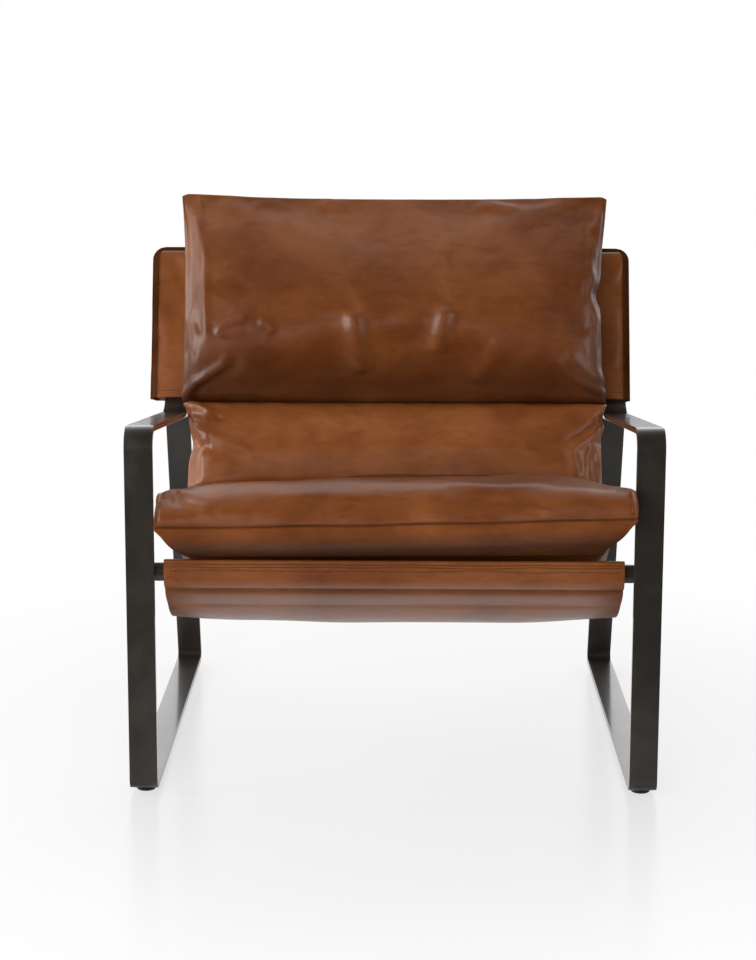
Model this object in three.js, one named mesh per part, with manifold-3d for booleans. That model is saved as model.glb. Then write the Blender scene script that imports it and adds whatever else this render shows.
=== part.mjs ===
// Leather sling lounge chair: bent flat-bar side frames, round cross bars, a leather sling
// with a hood over the back, and one loose cushion sewn into three stuffed sections.
// Millimetres, +Z up, the chair faces -Y, floor at Z = 0.

import * as THREE from 'three';
import { mergeVertices } from 'three/addons/utils/BufferGeometryUtils.js';
import Module from 'manifold-3d';

const wasm = await Module();
wasm.setup();

// Side frames: flat bar bent the easy way
const frameWidth = 717;
const barWidth = 38;
const barThickness = 8;
const armHeight = 510;
const armSlope = THREE.MathUtils.degToRad(6.5);
const armLength = 523;
const frontBendRadius = 20;
const backBendRadius = 50;
const footBendRadius = 8;
const uprightLength = 259;
const backRecline = THREE.MathUtils.degToRad(20);
const footDepth = 674;
const rearLegWeldAngle = THREE.MathUtils.degToRad(40);
const footWeldRise = 6;
const weldGap = 0.3;

// Round cross bars
const crossBarDiameter = 25;
const frontBarHeight = 309;
const frontBarEndInset = 4;
const stretcherHeight = 300;
const railDropFromTop = 13;

// Glides and their screws
const glideHeight = 8;
const glideDiameter = 27;
const glideChamfer = 1.5;
const glideInset = 34;
const screwDiameter = 5;
const screwHeadDiameter = 9.4;
const screwHeadHeight = 3;
const screwHeadRecess = 4.2;
const screwEndBelowTop = 1;
const screwClearance = 0.3;

// Leather sling and hood
const leatherThickness = 3.5;
const sleeveSlack = 0.5;
const slingSideGap = 12.5;
const slingFrontPull = 170;
const slingFrontAngle = THREE.MathUtils.degToRad(60);
const slingBackPull = 270;
const slingSag = 14;
const hoodSideEase = 11;
const hoodTopEase = 2;
const hoodPocketEase = 0.5;
const hoodCornerRadius = 18;
const hoodEdgeRound = 5;
const hemHeightOnBack = 22;
const sewnGap = 0.3;

// Cushion: seat, lumbar and head sections sewn to each other
const cushionArmGap = 4;
const cushionRestGap = 0.9;
const sectionGap = 0.6;
const seatOverhang = 50;
const seatSeamRise = 84;
const seatRollRise = 37;
const seatRollDepth = 26;
const seatCrown = 17;
const seatUnderTaper = 30;
const seatRearWidthLoss = 12;
const seatSleeveGap = 6;
const landingPlace = 0.32;
const creasePlace = 0.8;
const creaseDepth = 58;
const channelPlace = 0.97;
const channelDepth = 62;
const lumbarBulge = 22;
const headHeight = 327;
const headBellyDrop = 222;
const headThickness = 138;
const headTopDepth = 50;
const headWidthGain = 6;
const headWidthLoss = 4;
const seatFrontFullness = 0.8;
const creaseFullness = 0.45;
const channelFullness = 0.4;
const headTopFullness = 0.25;
const sideRoundness = 6;
const sideDraw = 8;
const sideBand = 16;
const coverThickness = 2.5;
const coreEase = 0.6;
const seatZipPlace = 0.7;
const lumbarZipPlace = 0.5;
const headZipPlace = 0.36;
const zipWidth = 8;
const zipEndMargin = 110;
const zipEase = 0.4;

// Fineness of round and soft forms
const bendSteps = 8;
const edgeSteps = 2;
const roundSides = 28;
const screwSides = 14;
const slingLengthSteps = 24;
const slingWidthSteps = 6;
const cushionStations = 11;
const profileSteps = 14;
const restSteps = 10;
const mergeTolerance = 1e-4;

const finish = {
  steel: { color: 0x2b2724, roughness: 0.38, metalness: 0.85 },
  slingLeather: { color: 0x7a4224, roughness: 0.42, metalness: 0 },
  cushionLeather: { color: 0x82451f, roughness: 0.38, metalness: 0 },
  glidePlastic: { color: 0x121212, roughness: 0.6, metalness: 0 },
  screwSteel: { color: 0x8d8d8a, roughness: 0.35, metalness: 0.9 },
  fill: { color: 0xe6dfd2, roughness: 0.95, metalness: 0 },
  zip: { color: 0x4a3526, roughness: 0.5, metalness: 0.3 },
};

const chair = new THREE.Group();

function addMesh(name, geometry, surface, parent = chair) {
  const mesh = new THREE.Mesh(geometry, new THREE.MeshStandardMaterial(surface));
  mesh.name = name;
  parent.add(mesh);
  return mesh;
}

// Solids for joining and cutting

function solidOf(geometry) {
  const bare = geometry.clone();
  bare.deleteAttribute('normal');
  bare.deleteAttribute('uv');
  const merged = mergeVertices(bare, mergeTolerance);
  return new wasm.Manifold(
    new wasm.Mesh({
      numProp: 3,
      vertProperties: new Float32Array(merged.attributes.position.array),
      triVerts: new Uint32Array(merged.index.array),
    }),
  );
}

function geometryOf(solid) {
  const mesh = solid.getMesh();
  const geometry = new THREE.BufferGeometry();
  geometry.setAttribute('position', new THREE.BufferAttribute(new Float32Array(mesh.vertProperties), 3));
  geometry.setIndex(new THREE.BufferAttribute(new Uint32Array(mesh.triVerts), 1));
  return geometry;
}

// Side-view drawing: a 2-D point is (Y, Z) of the chair

const point = (y, z) => new THREE.Vector2(y, z);
const fullTurn = 2 * Math.PI;
const disc = (centre, radius) => new THREE.Shape().absarc(centre.x, centre.y, radius, 0, fullTurn);
const sideViewAxes = new THREE.Matrix4().makeBasis(
  new THREE.Vector3(0, 1, 0),
  new THREE.Vector3(0, 0, 1),
  new THREE.Vector3(1, 0, 0),
);

function extrudeAcross(shape, fromX, toX) {
  const geometry = new THREE.ExtrudeGeometry(shape, {
    depth: toX - fromX,
    bevelEnabled: false,
    curveSegments: roundSides,
  });
  geometry.applyMatrix4(sideViewAxes);
  return geometry.translate(fromX, 0, 0);
}

// Centre line of a bent bar: straight runs between corners, each corner an arc of one radius
function bentLine(corners, radii) {
  const line = [];
  const last = corners.length - 1;
  corners.forEach((corner, i) => {
    const before = corners[Math.max(i - 1, 0)];
    const after = corners[Math.min(i + 1, last)];
    if (i === 0 || i === last) {
      const along = after.clone().sub(before).normalize();
      line.push({ at: corner.clone(), side: point(-along.y, along.x) });
      return;
    }
    const arrive = corner.clone().sub(before).normalize();
    const leave = after.clone().sub(corner).normalize();
    const turn = Math.atan2(arrive.cross(leave), arrive.dot(leave));
    const radius = radii[i - 1];
    const hand = Math.sign(turn);
    const start = corner.clone().addScaledVector(arrive, -radius * Math.tan(Math.abs(turn) / 2));
    const startSide = point(-arrive.y, arrive.x);
    const centre = start.clone().addScaledVector(startSide, hand * radius);
    for (let k = 0; k <= bendSteps; k += 1) {
      const side = startSide.clone().rotateAround(point(0, 0), (turn * k) / bendSteps);
      line.push({ at: centre.clone().addScaledVector(side, -hand * radius), side, centre });
    }
  });
  return line;
}

function stripShape(line, thickness) {
  const upper = line.map(({ at, side }) => at.clone().addScaledVector(side, thickness / 2));
  const lower = line.map(({ at, side }) => at.clone().addScaledVector(side, -thickness / 2));
  return new THREE.Shape([...lower, ...upper.reverse()]);
}

// Places that several pieces share

const halfBar = barThickness / 2;
const outerX = frameWidth / 2;
const innerX = outerX - barWidth;
const crossBarRadius = crossBarDiameter / 2;
const runnerTop = glideHeight + barThickness;
const upAlongBack = point(Math.sin(backRecline), Math.cos(backRecline));
const outOfBack = point(-Math.cos(backRecline), Math.sin(backRecline));
const armCentreAt = (y) => armHeight - halfBar / Math.cos(armSlope) - y * Math.tan(armSlope);

const backCorner = point(armLength, armCentreAt(armLength));
const uprightTop = backCorner.clone().addScaledVector(upAlongBack, uprightLength);
const footWeldHeight = runnerTop + footBendRadius + footWeldRise;

// Side frames

function armLine() {
  const corners = [
    point(halfBar, footWeldHeight),
    point(halfBar, armCentreAt(halfBar)),
    backCorner,
    uprightTop,
  ];
  return bentLine(corners, [frontBendRadius + halfBar, backBendRadius + halfBar]);
}

const armCentreLine = armLine();
const backBendCentre = armCentreLine.findLast(({ centre }) => centre).centre;
const backBendOuter = backBendRadius + barThickness;

const footCorner = point(footDepth, glideHeight + halfBar);
const rearLegTop = backBendCentre
  .clone()
  .add(point(Math.sin(rearLegWeldAngle), -Math.cos(rearLegWeldAngle)).multiplyScalar(backBendOuter));

function sledLine() {
  const intoBend = rearLegTop.clone().sub(footCorner).setLength(barThickness);
  const corners = [
    rearLegTop.clone().add(intoBend),
    footCorner,
    point(halfBar, glideHeight + halfBar),
    point(halfBar, footWeldHeight),
  ];
  const radius = footBendRadius + halfBar;
  return bentLine(corners, [radius, radius]);
}

const glidePlaces = [
  { end: 'front', y: glideInset },
  { end: 'rear', y: footDepth - glideInset },
];
const sides = [
  { name: 'left', hand: -1 },
  { name: 'right', hand: 1 },
];
const barMiddleX = (innerX + outerX) / 2;

function uprightCylinder(radius, fromZ, toZ, x, y, segments) {
  const geometry = new THREE.CylinderGeometry(radius, radius, toZ - fromZ, segments);
  geometry.rotateX(Math.PI / 2);
  return geometry.translate(x, y, (fromZ + toZ) / 2);
}

function sledBar(fromX, toX, middleX) {
  const weldCut = disc(backBendCentre, backBendOuter + weldGap);
  let solid = solidOf(extrudeAcross(stripShape(sledLine(), barThickness), fromX, toX));
  solid = solid.subtract(solidOf(extrudeAcross(weldCut, fromX - barWidth, toX + barWidth)));
  for (const { y } of glidePlaces) {
    const hole = uprightCylinder(
      screwDiameter / 2 + screwClearance,
      0,
      runnerTop + barThickness,
      middleX,
      y,
      screwSides,
    );
    solid = solid.subtract(solidOf(hole));
  }
  return geometryOf(solid);
}

for (const { name, hand } of sides) {
  const fromX = hand < 0 ? -outerX : innerX;
  const toX = fromX + barWidth;
  const armShape = stripShape(armCentreLine, barThickness);
  addMesh(`${name}_arm_bar`, extrudeAcross(armShape, fromX, toX), finish.steel);
  addMesh(`${name}_sled_bar`, sledBar(fromX, toX, hand * barMiddleX), finish.steel);
}

// Cross bars

function crossBar(centre, halfLength) {
  const geometry = new THREE.CylinderGeometry(crossBarRadius, crossBarRadius, 2 * halfLength, roundSides);
  geometry.rotateZ(Math.PI / 2);
  return geometry.translate(0, centre.x, centre.y);
}

const barReach = halfBar + crossBarRadius + weldGap;
const frontBar = point(halfBar + barReach, frontBarHeight);
const rearLegAlong = footCorner.clone().sub(rearLegTop).normalize();
const stretcherShare = (stretcherHeight - rearLegTop.y) / (footCorner.y - rearLegTop.y);
const stretcher = rearLegTop
  .clone()
  .lerp(footCorner, stretcherShare)
  .addScaledVector(point(rearLegAlong.y, -rearLegAlong.x), barReach);
const topRail = uprightTop.clone().addScaledVector(upAlongBack, -railDropFromTop);

addMesh('front_bar', crossBar(frontBar, outerX - frontBarEndInset), finish.steel);
addMesh('rear_stretcher', crossBar(stretcher, outerX - frontBarEndInset), finish.steel);
addMesh('back_top_rail', crossBar(topRail, innerX - weldGap), finish.steel);

// Glides, each held by a screw up into the runner

function glideGeometry() {
  const radius = glideDiameter / 2;
  const hole = screwDiameter / 2 + screwClearance;
  const counterbore = screwHeadDiameter / 2 + screwClearance;
  const profile = [
    point(hole, glideHeight),
    point(hole, screwHeadRecess),
    point(counterbore, screwHeadRecess),
    point(counterbore, 0),
    point(radius - glideChamfer, 0),
    point(radius, glideChamfer),
    point(radius, glideHeight),
    point(hole, glideHeight),
  ];
  return new THREE.LatheGeometry(profile, roundSides).rotateX(Math.PI / 2);
}

function screwGeometry() {
  const headTop = screwHeadRecess;
  const profile = [
    point(0, headTop - screwHeadHeight),
    point(screwHeadDiameter / 2, headTop - screwHeadHeight),
    point(screwHeadDiameter / 2, headTop),
    point(screwDiameter / 2, headTop),
    point(screwDiameter / 2, runnerTop - screwEndBelowTop),
    point(0, runnerTop - screwEndBelowTop),
  ];
  return new THREE.LatheGeometry(profile, screwSides).rotateX(Math.PI / 2);
}

for (const { name, hand } of sides) {
  for (const { end, y } of glidePlaces) {
    const pad = addMesh(`${end}_${name}_glide`, glideGeometry(), finish.glidePlastic);
    const screw = addMesh(`${end}_${name}_glide_screw`, screwGeometry(), finish.screwSteel);
    pad.position.set(hand * barMiddleX, y, 0);
    screw.position.set(hand * barMiddleX, y, 0);
  }
}

// Hood: a leather pocket over the uprights and the top rail, open below

const hoodHalfDepth = crossBarRadius + hoodPocketEase + leatherThickness;
const hoodHalfWidth = outerX + hoodSideEase + leatherThickness;
const hoodTop = uprightLength + hoodTopEase + leatherThickness;

function pocketSolid(halfWidth, halfDepth, top, cornerRadius) {
  const half = halfWidth - hoodEdgeRound;
  const height = top - hoodEdgeRound;
  const round = cornerRadius - hoodEdgeRound;
  const outline = new THREE.Shape();
  outline.moveTo(-half, 0);
  outline.lineTo(half, 0);
  outline.lineTo(half, height - round);
  outline.absarc(half - round, height - round, round, 0, Math.PI / 2, false);
  outline.lineTo(round - half, height);
  outline.absarc(round - half, height - round, round, Math.PI / 2, Math.PI, false);
  outline.closePath();
  const geometry = new THREE.ExtrudeGeometry(outline, {
    depth: 2 * (halfDepth - hoodEdgeRound),
    bevelThickness: hoodEdgeRound,
    bevelSize: hoodEdgeRound,
    bevelSegments: edgeSteps,
    curveSegments: bendSteps,
  });
  geometry.translate(0, 0, hoodEdgeRound - halfDepth);
  return solidOf(geometry.rotateX(Math.PI / 2));
}

function hoodGeometry() {
  const wall = leatherThickness;
  const outer = pocketSolid(hoodHalfWidth, hoodHalfDepth, hoodTop, hoodCornerRadius);
  const innerCorner = hoodCornerRadius - wall;
  const inner = pocketSolid(hoodHalfWidth - wall, hoodHalfDepth - wall, hoodTop - wall, innerCorner);
  const belowHem = new THREE.BoxGeometry(4 * hoodHalfWidth, 4 * hoodHalfDepth, 2 * hemHeightOnBack);
  return geometryOf(outer.subtract(inner).subtract(solidOf(belowHem)));
}

const backFrame = new THREE.Group();
backFrame.position.set(0, backCorner.x, backCorner.y);
backFrame.rotation.x = -backRecline;
chair.add(backFrame);
addMesh('back_hood', hoodGeometry(), finish.slingLeather, backFrame);

// Sling: a sleeve round the front bar, then one sheet under the seat and up to the hood's hem

const slingHalfWidth = innerX - slingSideGap;
const sleeveInner = crossBarRadius + sleeveSlack;
const sleeveMiddle = sleeveInner + leatherThickness / 2;
const hemPoint = backCorner
  .clone()
  .addScaledVector(upAlongBack, hemHeightOnBack - sewnGap)
  .addScaledVector(outOfBack, hoodHalfDepth - leatherThickness / 2);
const slingStart = point(frontBar.x, frontBar.y - sleeveMiddle);
const slingCurve = new THREE.CubicBezierCurve(
  slingStart,
  slingStart
    .clone()
    .add(point(Math.cos(slingFrontAngle), -Math.sin(slingFrontAngle)).multiplyScalar(slingFrontPull)),
  hemPoint.clone().addScaledVector(upAlongBack, -slingBackPull),
  hemPoint,
);

// The sheet hangs lower in the middle of its width, and is flat at the sleeve and at the hem
function sagAt(share, across) {
  return -slingSag * Math.sin(Math.PI * share) ** 2 * (1 - across ** 4);
}

function slingFrame(share) {
  const at = slingCurve.getPoint(share);
  const along = slingCurve.getTangent(share);
  return { at, side: point(-along.y, along.x), share };
}

// Triangles that close one ring, as a strip between the points that face each other across it
function endFaces(size) {
  const half = size / 2;
  const faces = [[0, 1, size - 1], [half - 1, half, half + 1]];
  for (let i = 1; i < half - 1; i += 1) {
    faces.push([i, i + 1, size - i - 1], [i, size - i - 1, size - i]);
  }
  return faces;
}

// Closed body from a grid of rings, one ring per station, with closed ends
function loft(rings) {
  const size = rings[0].length;
  const last = (rings.length - 1) * size;
  const index = [];
  for (let start = 0; start < last; start += size) {
    for (let i = 0; i < size; i += 1) {
      const a = start + i;
      const b = start + ((i + 1) % size);
      index.push(a, b, b + size, a, b + size, a + size);
    }
  }
  for (const [a, b, c] of endFaces(size)) {
    index.push(c, b, a, last + a, last + b, last + c);
  }
  const geometry = new THREE.BufferGeometry().setFromPoints(rings.flat());
  geometry.setIndex(index);
  return geometry;
}

function slingGeometry() {
  const rings = [];
  for (let k = 0; k <= slingLengthSteps; k += 1) {
    const { at, side, share } = slingFrame(k / slingLengthSteps);
    const face = (hand) =>
      Array.from({ length: slingWidthSteps + 1 }, (_, i) => {
        const across = hand * ((2 * i) / slingWidthSteps - 1);
        const place = at.clone().addScaledVector(side, (hand * leatherThickness) / 2);
        return new THREE.Vector3(across * slingHalfWidth, place.x, place.y + sagAt(share, across));
      });
    rings.push([...face(-1), ...face(1)]);
  }
  const sleeve = disc(frontBar, sleeveInner + leatherThickness);
  const tunnel = solidOf(extrudeAcross(disc(frontBar, sleeveInner), -outerX, outerX));
  const roll = solidOf(extrudeAcross(sleeve, -slingHalfWidth, slingHalfWidth));
  return geometryOf(roll.add(solidOf(loft(rings))).subtract(tunnel));
}

addMesh('seat_sling', slingGeometry(), finish.slingLeather);

// Cushion sections

// Point on the cushion's resting face above the sling, at a share of the sling's length
function restPoint(share, height = 0) {
  const { at, side } = slingFrame(share);
  const lift = leatherThickness / 2 + cushionRestGap + height;
  return at.clone().addScaledVector(side, lift).add(point(0, sagAt(share, 0)));
}

// Point in front of the hood, at a height along the back and a thickness out of it
function backRest(height, thickness = 0) {
  return backCorner
    .clone()
    .addScaledVector(upAlongBack, height)
    .addScaledVector(outOfBack, hoodHalfDepth + cushionRestGap + thickness);
}

// Points on the resting face between two shares of the sling's length, both ends left out
function restRun(from, to) {
  const shareAt = (i) => THREE.MathUtils.lerp(from, to, (i + 1) / restSteps);
  return Array.from({ length: restSteps - 1 }, (_, i) => restPoint(shareAt(i)));
}

const smoothRun = (points) => new THREE.SplineCurve(points).getSpacedPoints(profileSteps);

// Even points along a run of points
function evenRun(points) {
  const path = new THREE.CurvePath();
  points.slice(1).forEach((p, i) => path.add(new THREE.LineCurve(points[i], p)));
  return path.getSpacedPoints(profileSteps);
}

// Inward copy of a closed outline that turns counter-clockwise
function inset(outline, distance) {
  const size = outline.length;
  return outline.map((p, i) => {
    const arrive = p.clone().sub(outline[(i + size - 1) % size]).normalize();
    const leave = outline[(i + 1) % size].clone().sub(p).normalize();
    const along = arrive.add(leave).normalize();
    return p.clone().addScaledVector(point(-along.y, along.x), distance);
  });
}

// One stuffed section: its resting face and its shown face are runs of paired points at the middle
// of the width. Towards the sides each pair closes on its own middle, down to the side band, and
// between the section's ends the sides draw in.
function sectionRings({ rest, shown, widthAt, underTaper, firstEdge, lastEdge }, shrink) {
  const last = rest.length - 1;
  const rings = [];
  for (let k = 0; k < cushionStations; k += 1) {
    const across = -Math.cos((Math.PI * k) / (cushionStations - 1));
    const sideLoss = k === 0 || k === cushionStations - 1 ? shrink : 0;
    const fullness = Math.sqrt(1 - Math.abs(across) ** sideRoundness);
    const closed = (face) =>
      face.map((p, i) => {
        const edge = THREE.MathUtils.lerp(firstEdge, lastEdge, i / last);
        const seam = rest[i].clone().lerp(shown[i], 0.5);
        const reach = p.clone().sub(seam);
        const full = reach.length();
        const least = Math.min(full, sideBand / 2);
        return seam.add(reach.setLength(Math.max(full * (edge + (1 - edge) * fullness), least)));
      });
    const low = closed(rest);
    const high = closed(shown).reverse();
    const middle = (a, b) => a.clone().lerp(b, 0.5);
    const outline = [middle(high[last], low[0]), ...low, middle(low[last], high[0]), ...high];
    const shares = low.map((_, i) => i / last);
    const halfWidths = [
      widthAt(0),
      ...shares.map((share) => widthAt(share) - underTaper * Math.sin(Math.PI * share)),
      widthAt(1),
      ...shares.map((share) => widthAt(1 - share)),
    ];
    const place = (p, i) => new THREE.Vector3(across * (halfWidths[i] - sideLoss), p.x, p.y);
    rings.push(inset(outline, shrink).map(place));
  }
  return rings;
}

// Ring between two neighbouring stations, where the ring's numbered point has the given X
function ringAt(rings, index, x) {
  const next = rings.findIndex((ring) => ring[index].x > x);
  const from = rings[next - 1][index].x;
  const share = (x - from) / (rings[next][index].x - from);
  return rings[next - 1].map((p, i) => p.clone().lerp(rings[next][i], share));
}

// Strip through or in a section's resting face, along the width
function zipRings(section, halfOpening, fromDepth, toDepth, endLoss) {
  const reach = section.widthAt(0.5) - zipEndMargin;
  const rings = sectionRings(section, 0);
  const stations = [
    ringAt(rings, section.zipAt, -reach),
    ...rings.filter((ring) => Math.abs(ring[section.zipAt].x) < reach),
    ringAt(rings, section.zipAt, reach),
  ];
  return stations.map((ring, k) => {
    const flat = (i) => point(ring[i].y, ring[i].z);
    const along = flat(section.zipAt + 1).sub(flat(section.zipAt - 1)).normalize();
    const inward = point(-along.y, along.x);
    const endShift = { 0: endLoss, [stations.length - 1]: -endLoss }[k] ?? 0;
    const corner = (side, depth) => {
      const p = flat(section.zipAt).addScaledVector(along, side).addScaledVector(inward, depth);
      return new THREE.Vector3(ring[section.zipAt].x + endShift, p.x, p.y);
    };
    return [
      corner(-halfOpening, fromDepth),
      corner(halfOpening, fromDepth),
      corner(halfOpening, toDepth),
      corner(-halfOpening, toDepth),
    ];
  });
}

const halfSeat = innerX - cushionArmGap;
const halfLumbar = halfSeat - seatRearWidthLoss;
const halfHead = innerX + headWidthGain;
const creaseFoot = restPoint(creasePlace);
const creaseTop = restPoint(creasePlace, creaseDepth);
const channelFoot = restPoint(channelPlace);
const channelTop = restPoint(channelPlace, channelDepth);

// Both ends of a sewn line between two sections, moved off that line towards one of them
function seamSide(foot, top, hand) {
  const line = top.clone().sub(foot).normalize();
  const shift = point(line.y, -line.x).multiplyScalar((hand * sectionGap) / 2);
  return [foot.clone().add(shift), top.clone().add(shift)];
}

function drawnIn(firstEnd, lastEnd) {
  return (share) => firstEnd + (lastEnd - firstEnd) * share - sideDraw * (1 - (2 * share - 1) ** 2);
}

function seatSection() {
  const [foot, top] = seamSide(creaseFoot, creaseTop, -1);
  const frontSeam = point(-seatOverhang, frontBar.y + seatSeamRise);
  const halfSeam = point(0, sideBand / 2);
  const sleeveReach = sleeveInner + leatherThickness + seatSleeveGap;
  const overSleeve = point(frontBar.x, frontBar.y + sleeveReach);
  const behindSleeve = point(frontBar.x + 2 * sleeveReach, frontBar.y);
  const rollTop = frontSeam.clone().add(point(seatRollDepth, seatRollRise));
  const topMiddle = rollTop.clone().lerp(top, 0.5).add(point(0, seatCrown));
  const landing = restPoint(landingPlace);
  const handle = landing.distanceTo(behindSleeve) / 3;
  const bridge = new THREE.CubicBezierCurve(
    behindSleeve,
    behindSleeve.clone().add(point(handle / 2, -handle)),
    landing.clone().addScaledVector(slingCurve.getTangent(landingPlace), -handle),
    landing,
  );
  const lowerFront = overSleeve.clone().sub(point(frontBar.x, 0));
  const underside = [
    ...new THREE.QuadraticBezierCurve(
      frontSeam.clone().sub(halfSeam),
      point(-seatOverhang, lowerFront.y),
      lowerFront,
    ).getPoints(bendSteps),
    overSleeve,
    ...bridge.getSpacedPoints(bendSteps),
    ...restRun(landingPlace, creasePlace),
    foot,
  ];
  return {
    rest: evenRun(underside),
    shown: smoothRun([frontSeam.clone().add(halfSeam), rollTop, topMiddle, top]),
    widthAt: drawnIn(halfSeat, halfLumbar),
    underTaper: seatUnderTaper,
    firstEdge: seatFrontFullness,
    lastEdge: creaseFullness,
    zipAt: Math.round(seatZipPlace * profileSteps),
  };
}

function lumbarSection() {
  const [lowFoot, lowTop] = seamSide(creaseFoot, creaseTop, 1);
  const [highFoot, highTop] = seamSide(channelFoot, channelTop, -1);
  const bulge = lowTop.clone().lerp(highTop, 0.5).addScaledVector(outOfBack, lumbarBulge);
  return {
    rest: evenRun([lowFoot, ...restRun(creasePlace, channelPlace), highFoot]),
    shown: smoothRun([lowTop, bulge, highTop]),
    widthAt: drawnIn(halfLumbar, halfLumbar),
    underTaper: 0,
    firstEdge: creaseFullness,
    lastEdge: channelFullness,
    zipAt: Math.round(lumbarZipPlace * profileSteps),
  };
}

function headSection() {
  const [foot, front] = seamSide(channelFoot, channelTop, 1);
  const topHeight = front.clone().sub(backCorner).dot(upAlongBack) + headHeight;
  const seamTop = backRest(topHeight, headTopDepth);
  const halfSeam = outOfBack.clone().multiplyScalar(sideBand / 2);
  const shoulder = backRest(topHeight - headTopDepth, headThickness - headTopDepth);
  const belly = backRest(topHeight - headBellyDrop, headThickness);
  return {
    rest: evenRun([
      foot,
      backRest(hemHeightOnBack + hoodEdgeRound),
      backRest(hoodTop),
      backRest(topHeight - headTopDepth, headTopDepth / 4),
      seamTop.clone().sub(halfSeam),
    ]),
    shown: smoothRun([front, belly, shoulder, seamTop.clone().add(halfSeam)]),
    widthAt: drawnIn(halfHead - headWidthLoss, halfHead),
    underTaper: 0,
    firstEdge: channelFullness,
    lastEdge: headTopFullness,
    zipAt: Math.round(headZipPlace * profileSteps),
  };
}

const sections = { seat: seatSection(), lumbar: lumbarSection(), head: headSection() };

for (const [name, section] of Object.entries(sections)) {
  const hollow = solidOf(loft(sectionRings(section, coverThickness)));
  const slot = solidOf(loft(zipRings(section, zipWidth / 2, -coverThickness, 2 * coverThickness, 0)));
  const cover = solidOf(loft(sectionRings(section, 0))).subtract(hollow).subtract(slot);
  addMesh(`${name}_cushion_cover`, geometryOf(cover), finish.cushionLeather);
  addMesh(`${name}_cushion_core`, loft(sectionRings(section, coverThickness + coreEase)), finish.fill);
  const zip = loft(zipRings(section, zipWidth / 2 - zipEase, 0, coverThickness, zipEase));
  addMesh(`${name}_cushion_zip`, zip, finish.zip);
}

// The origin is the middle of the whole chair's depth, on the floor
const box = new THREE.Box3().setFromObject(chair);
chair.position.y = -(box.min.y + box.max.y) / 2;

export default chair;
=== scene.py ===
"""Leather sling lounge chair: the looks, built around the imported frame. Metres, +Z up, it faces -Y."""

import math

import bmesh
import bpy
import numpy as np
from mathutils import Matrix, Vector


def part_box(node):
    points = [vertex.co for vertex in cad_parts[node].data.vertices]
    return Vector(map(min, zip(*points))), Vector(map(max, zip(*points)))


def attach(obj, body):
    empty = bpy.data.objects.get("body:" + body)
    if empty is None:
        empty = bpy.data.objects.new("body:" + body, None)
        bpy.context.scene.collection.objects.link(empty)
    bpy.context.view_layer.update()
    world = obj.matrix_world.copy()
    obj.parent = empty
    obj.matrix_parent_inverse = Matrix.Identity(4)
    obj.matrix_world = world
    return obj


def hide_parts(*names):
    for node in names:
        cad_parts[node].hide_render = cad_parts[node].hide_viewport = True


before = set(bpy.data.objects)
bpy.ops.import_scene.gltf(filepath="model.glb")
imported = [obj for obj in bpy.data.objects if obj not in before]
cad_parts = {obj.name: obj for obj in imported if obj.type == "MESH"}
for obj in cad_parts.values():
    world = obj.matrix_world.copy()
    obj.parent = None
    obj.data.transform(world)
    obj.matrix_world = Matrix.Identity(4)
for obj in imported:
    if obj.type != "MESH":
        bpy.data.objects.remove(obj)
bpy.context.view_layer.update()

# Places taken from the frame

LEG_FACE_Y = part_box("left_arm_bar")[0].y
INNER_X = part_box("right_arm_bar")[0].x
BAR_LOW, BAR_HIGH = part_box("front_bar")
BAR_YZ = np.array([(BAR_LOW.y + BAR_HIGH.y) / 2, (BAR_LOW.z + BAR_HIGH.z) / 2])
BAR_RADIUS = (BAR_HIGH.z - BAR_LOW.z) / 2
HOOD_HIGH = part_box("back_hood")[1]
RAIL_LOW, RAIL_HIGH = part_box("back_top_rail")
RAIL_YZ = np.array([(RAIL_LOW.y + RAIL_HIGH.y) / 2, (RAIL_LOW.z + RAIL_HIGH.z) / 2])

# Back plane: where arm and upright would meet, and the directions along and out of the back

ARM_LENGTH = 0.523
BACK_CORNER_HEIGHT = 0.4464
BACK_RECLINE = math.radians(20)
BACK_CORNER = np.array([LEG_FACE_Y + ARM_LENGTH, BACK_CORNER_HEIGHT])
UP_BACK = np.array([math.sin(BACK_RECLINE), math.cos(BACK_RECLINE)])
OUT_BACK = np.array([-math.cos(BACK_RECLINE), math.sin(BACK_RECLINE)])

# Leather sizes

LEATHER = 0.0035
POCKET_EASE = 0.0005
HOOD_HALF_DEPTH = BAR_RADIUS + POCKET_EASE + LEATHER
HEM_HEIGHT = 0.022
SLING_HALF_WIDTH = INNER_X - 0.0125
SLING_SAG = 0.014
SLEEVE_MIDDLE = BAR_RADIUS + POCKET_EASE + LEATHER / 2
REST_GAP = 0.0009

# Camera of the photograph

FRAME_WIDTH, FRAME_HEIGHT = 756, 960
CAMERA_LENS, SENSOR = 81.53, 36.0
CAMERA_PITCH, CAMERA_YAW, CAMERA_ROLL = 0.18534, 0.00881, 0.00292
CAMERA_PLACE = Vector((0.00318, LEG_FACE_Y - 2.82854, 0.96999))
CAMERA_TURN = (
    Matrix.Rotation(CAMERA_YAW, 4, "Z")
    @ Matrix.Rotation(math.pi / 2 - CAMERA_PITCH, 4, "X")
    @ Matrix.Rotation(CAMERA_ROLL, 4, "Z")
)


def photo_camera():
    data = bpy.data.cameras.new("photo_camera")
    data.lens = CAMERA_LENS
    data.sensor_width = SENSOR
    data.clip_end = 60
    camera = bpy.data.objects.new("photo_camera", data)
    camera.matrix_world = Matrix.Translation(CAMERA_PLACE) @ CAMERA_TURN
    bpy.context.scene.collection.objects.link(camera)
    bpy.context.scene.camera = camera


def photo_place(points):
    """Where points of the chair show in the photograph's frame, in pixels."""
    local = (points - np.array(CAMERA_PLACE)) @ np.array(CAMERA_TURN)[:3, :3]
    focal = CAMERA_LENS / SENSOR * FRAME_HEIGHT
    x = FRAME_WIDTH / 2 - focal * local[:, 0] / local[:, 2]
    y = FRAME_HEIGHT / 2 + focal * local[:, 1] / local[:, 2]
    return np.column_stack([x, y])


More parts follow.
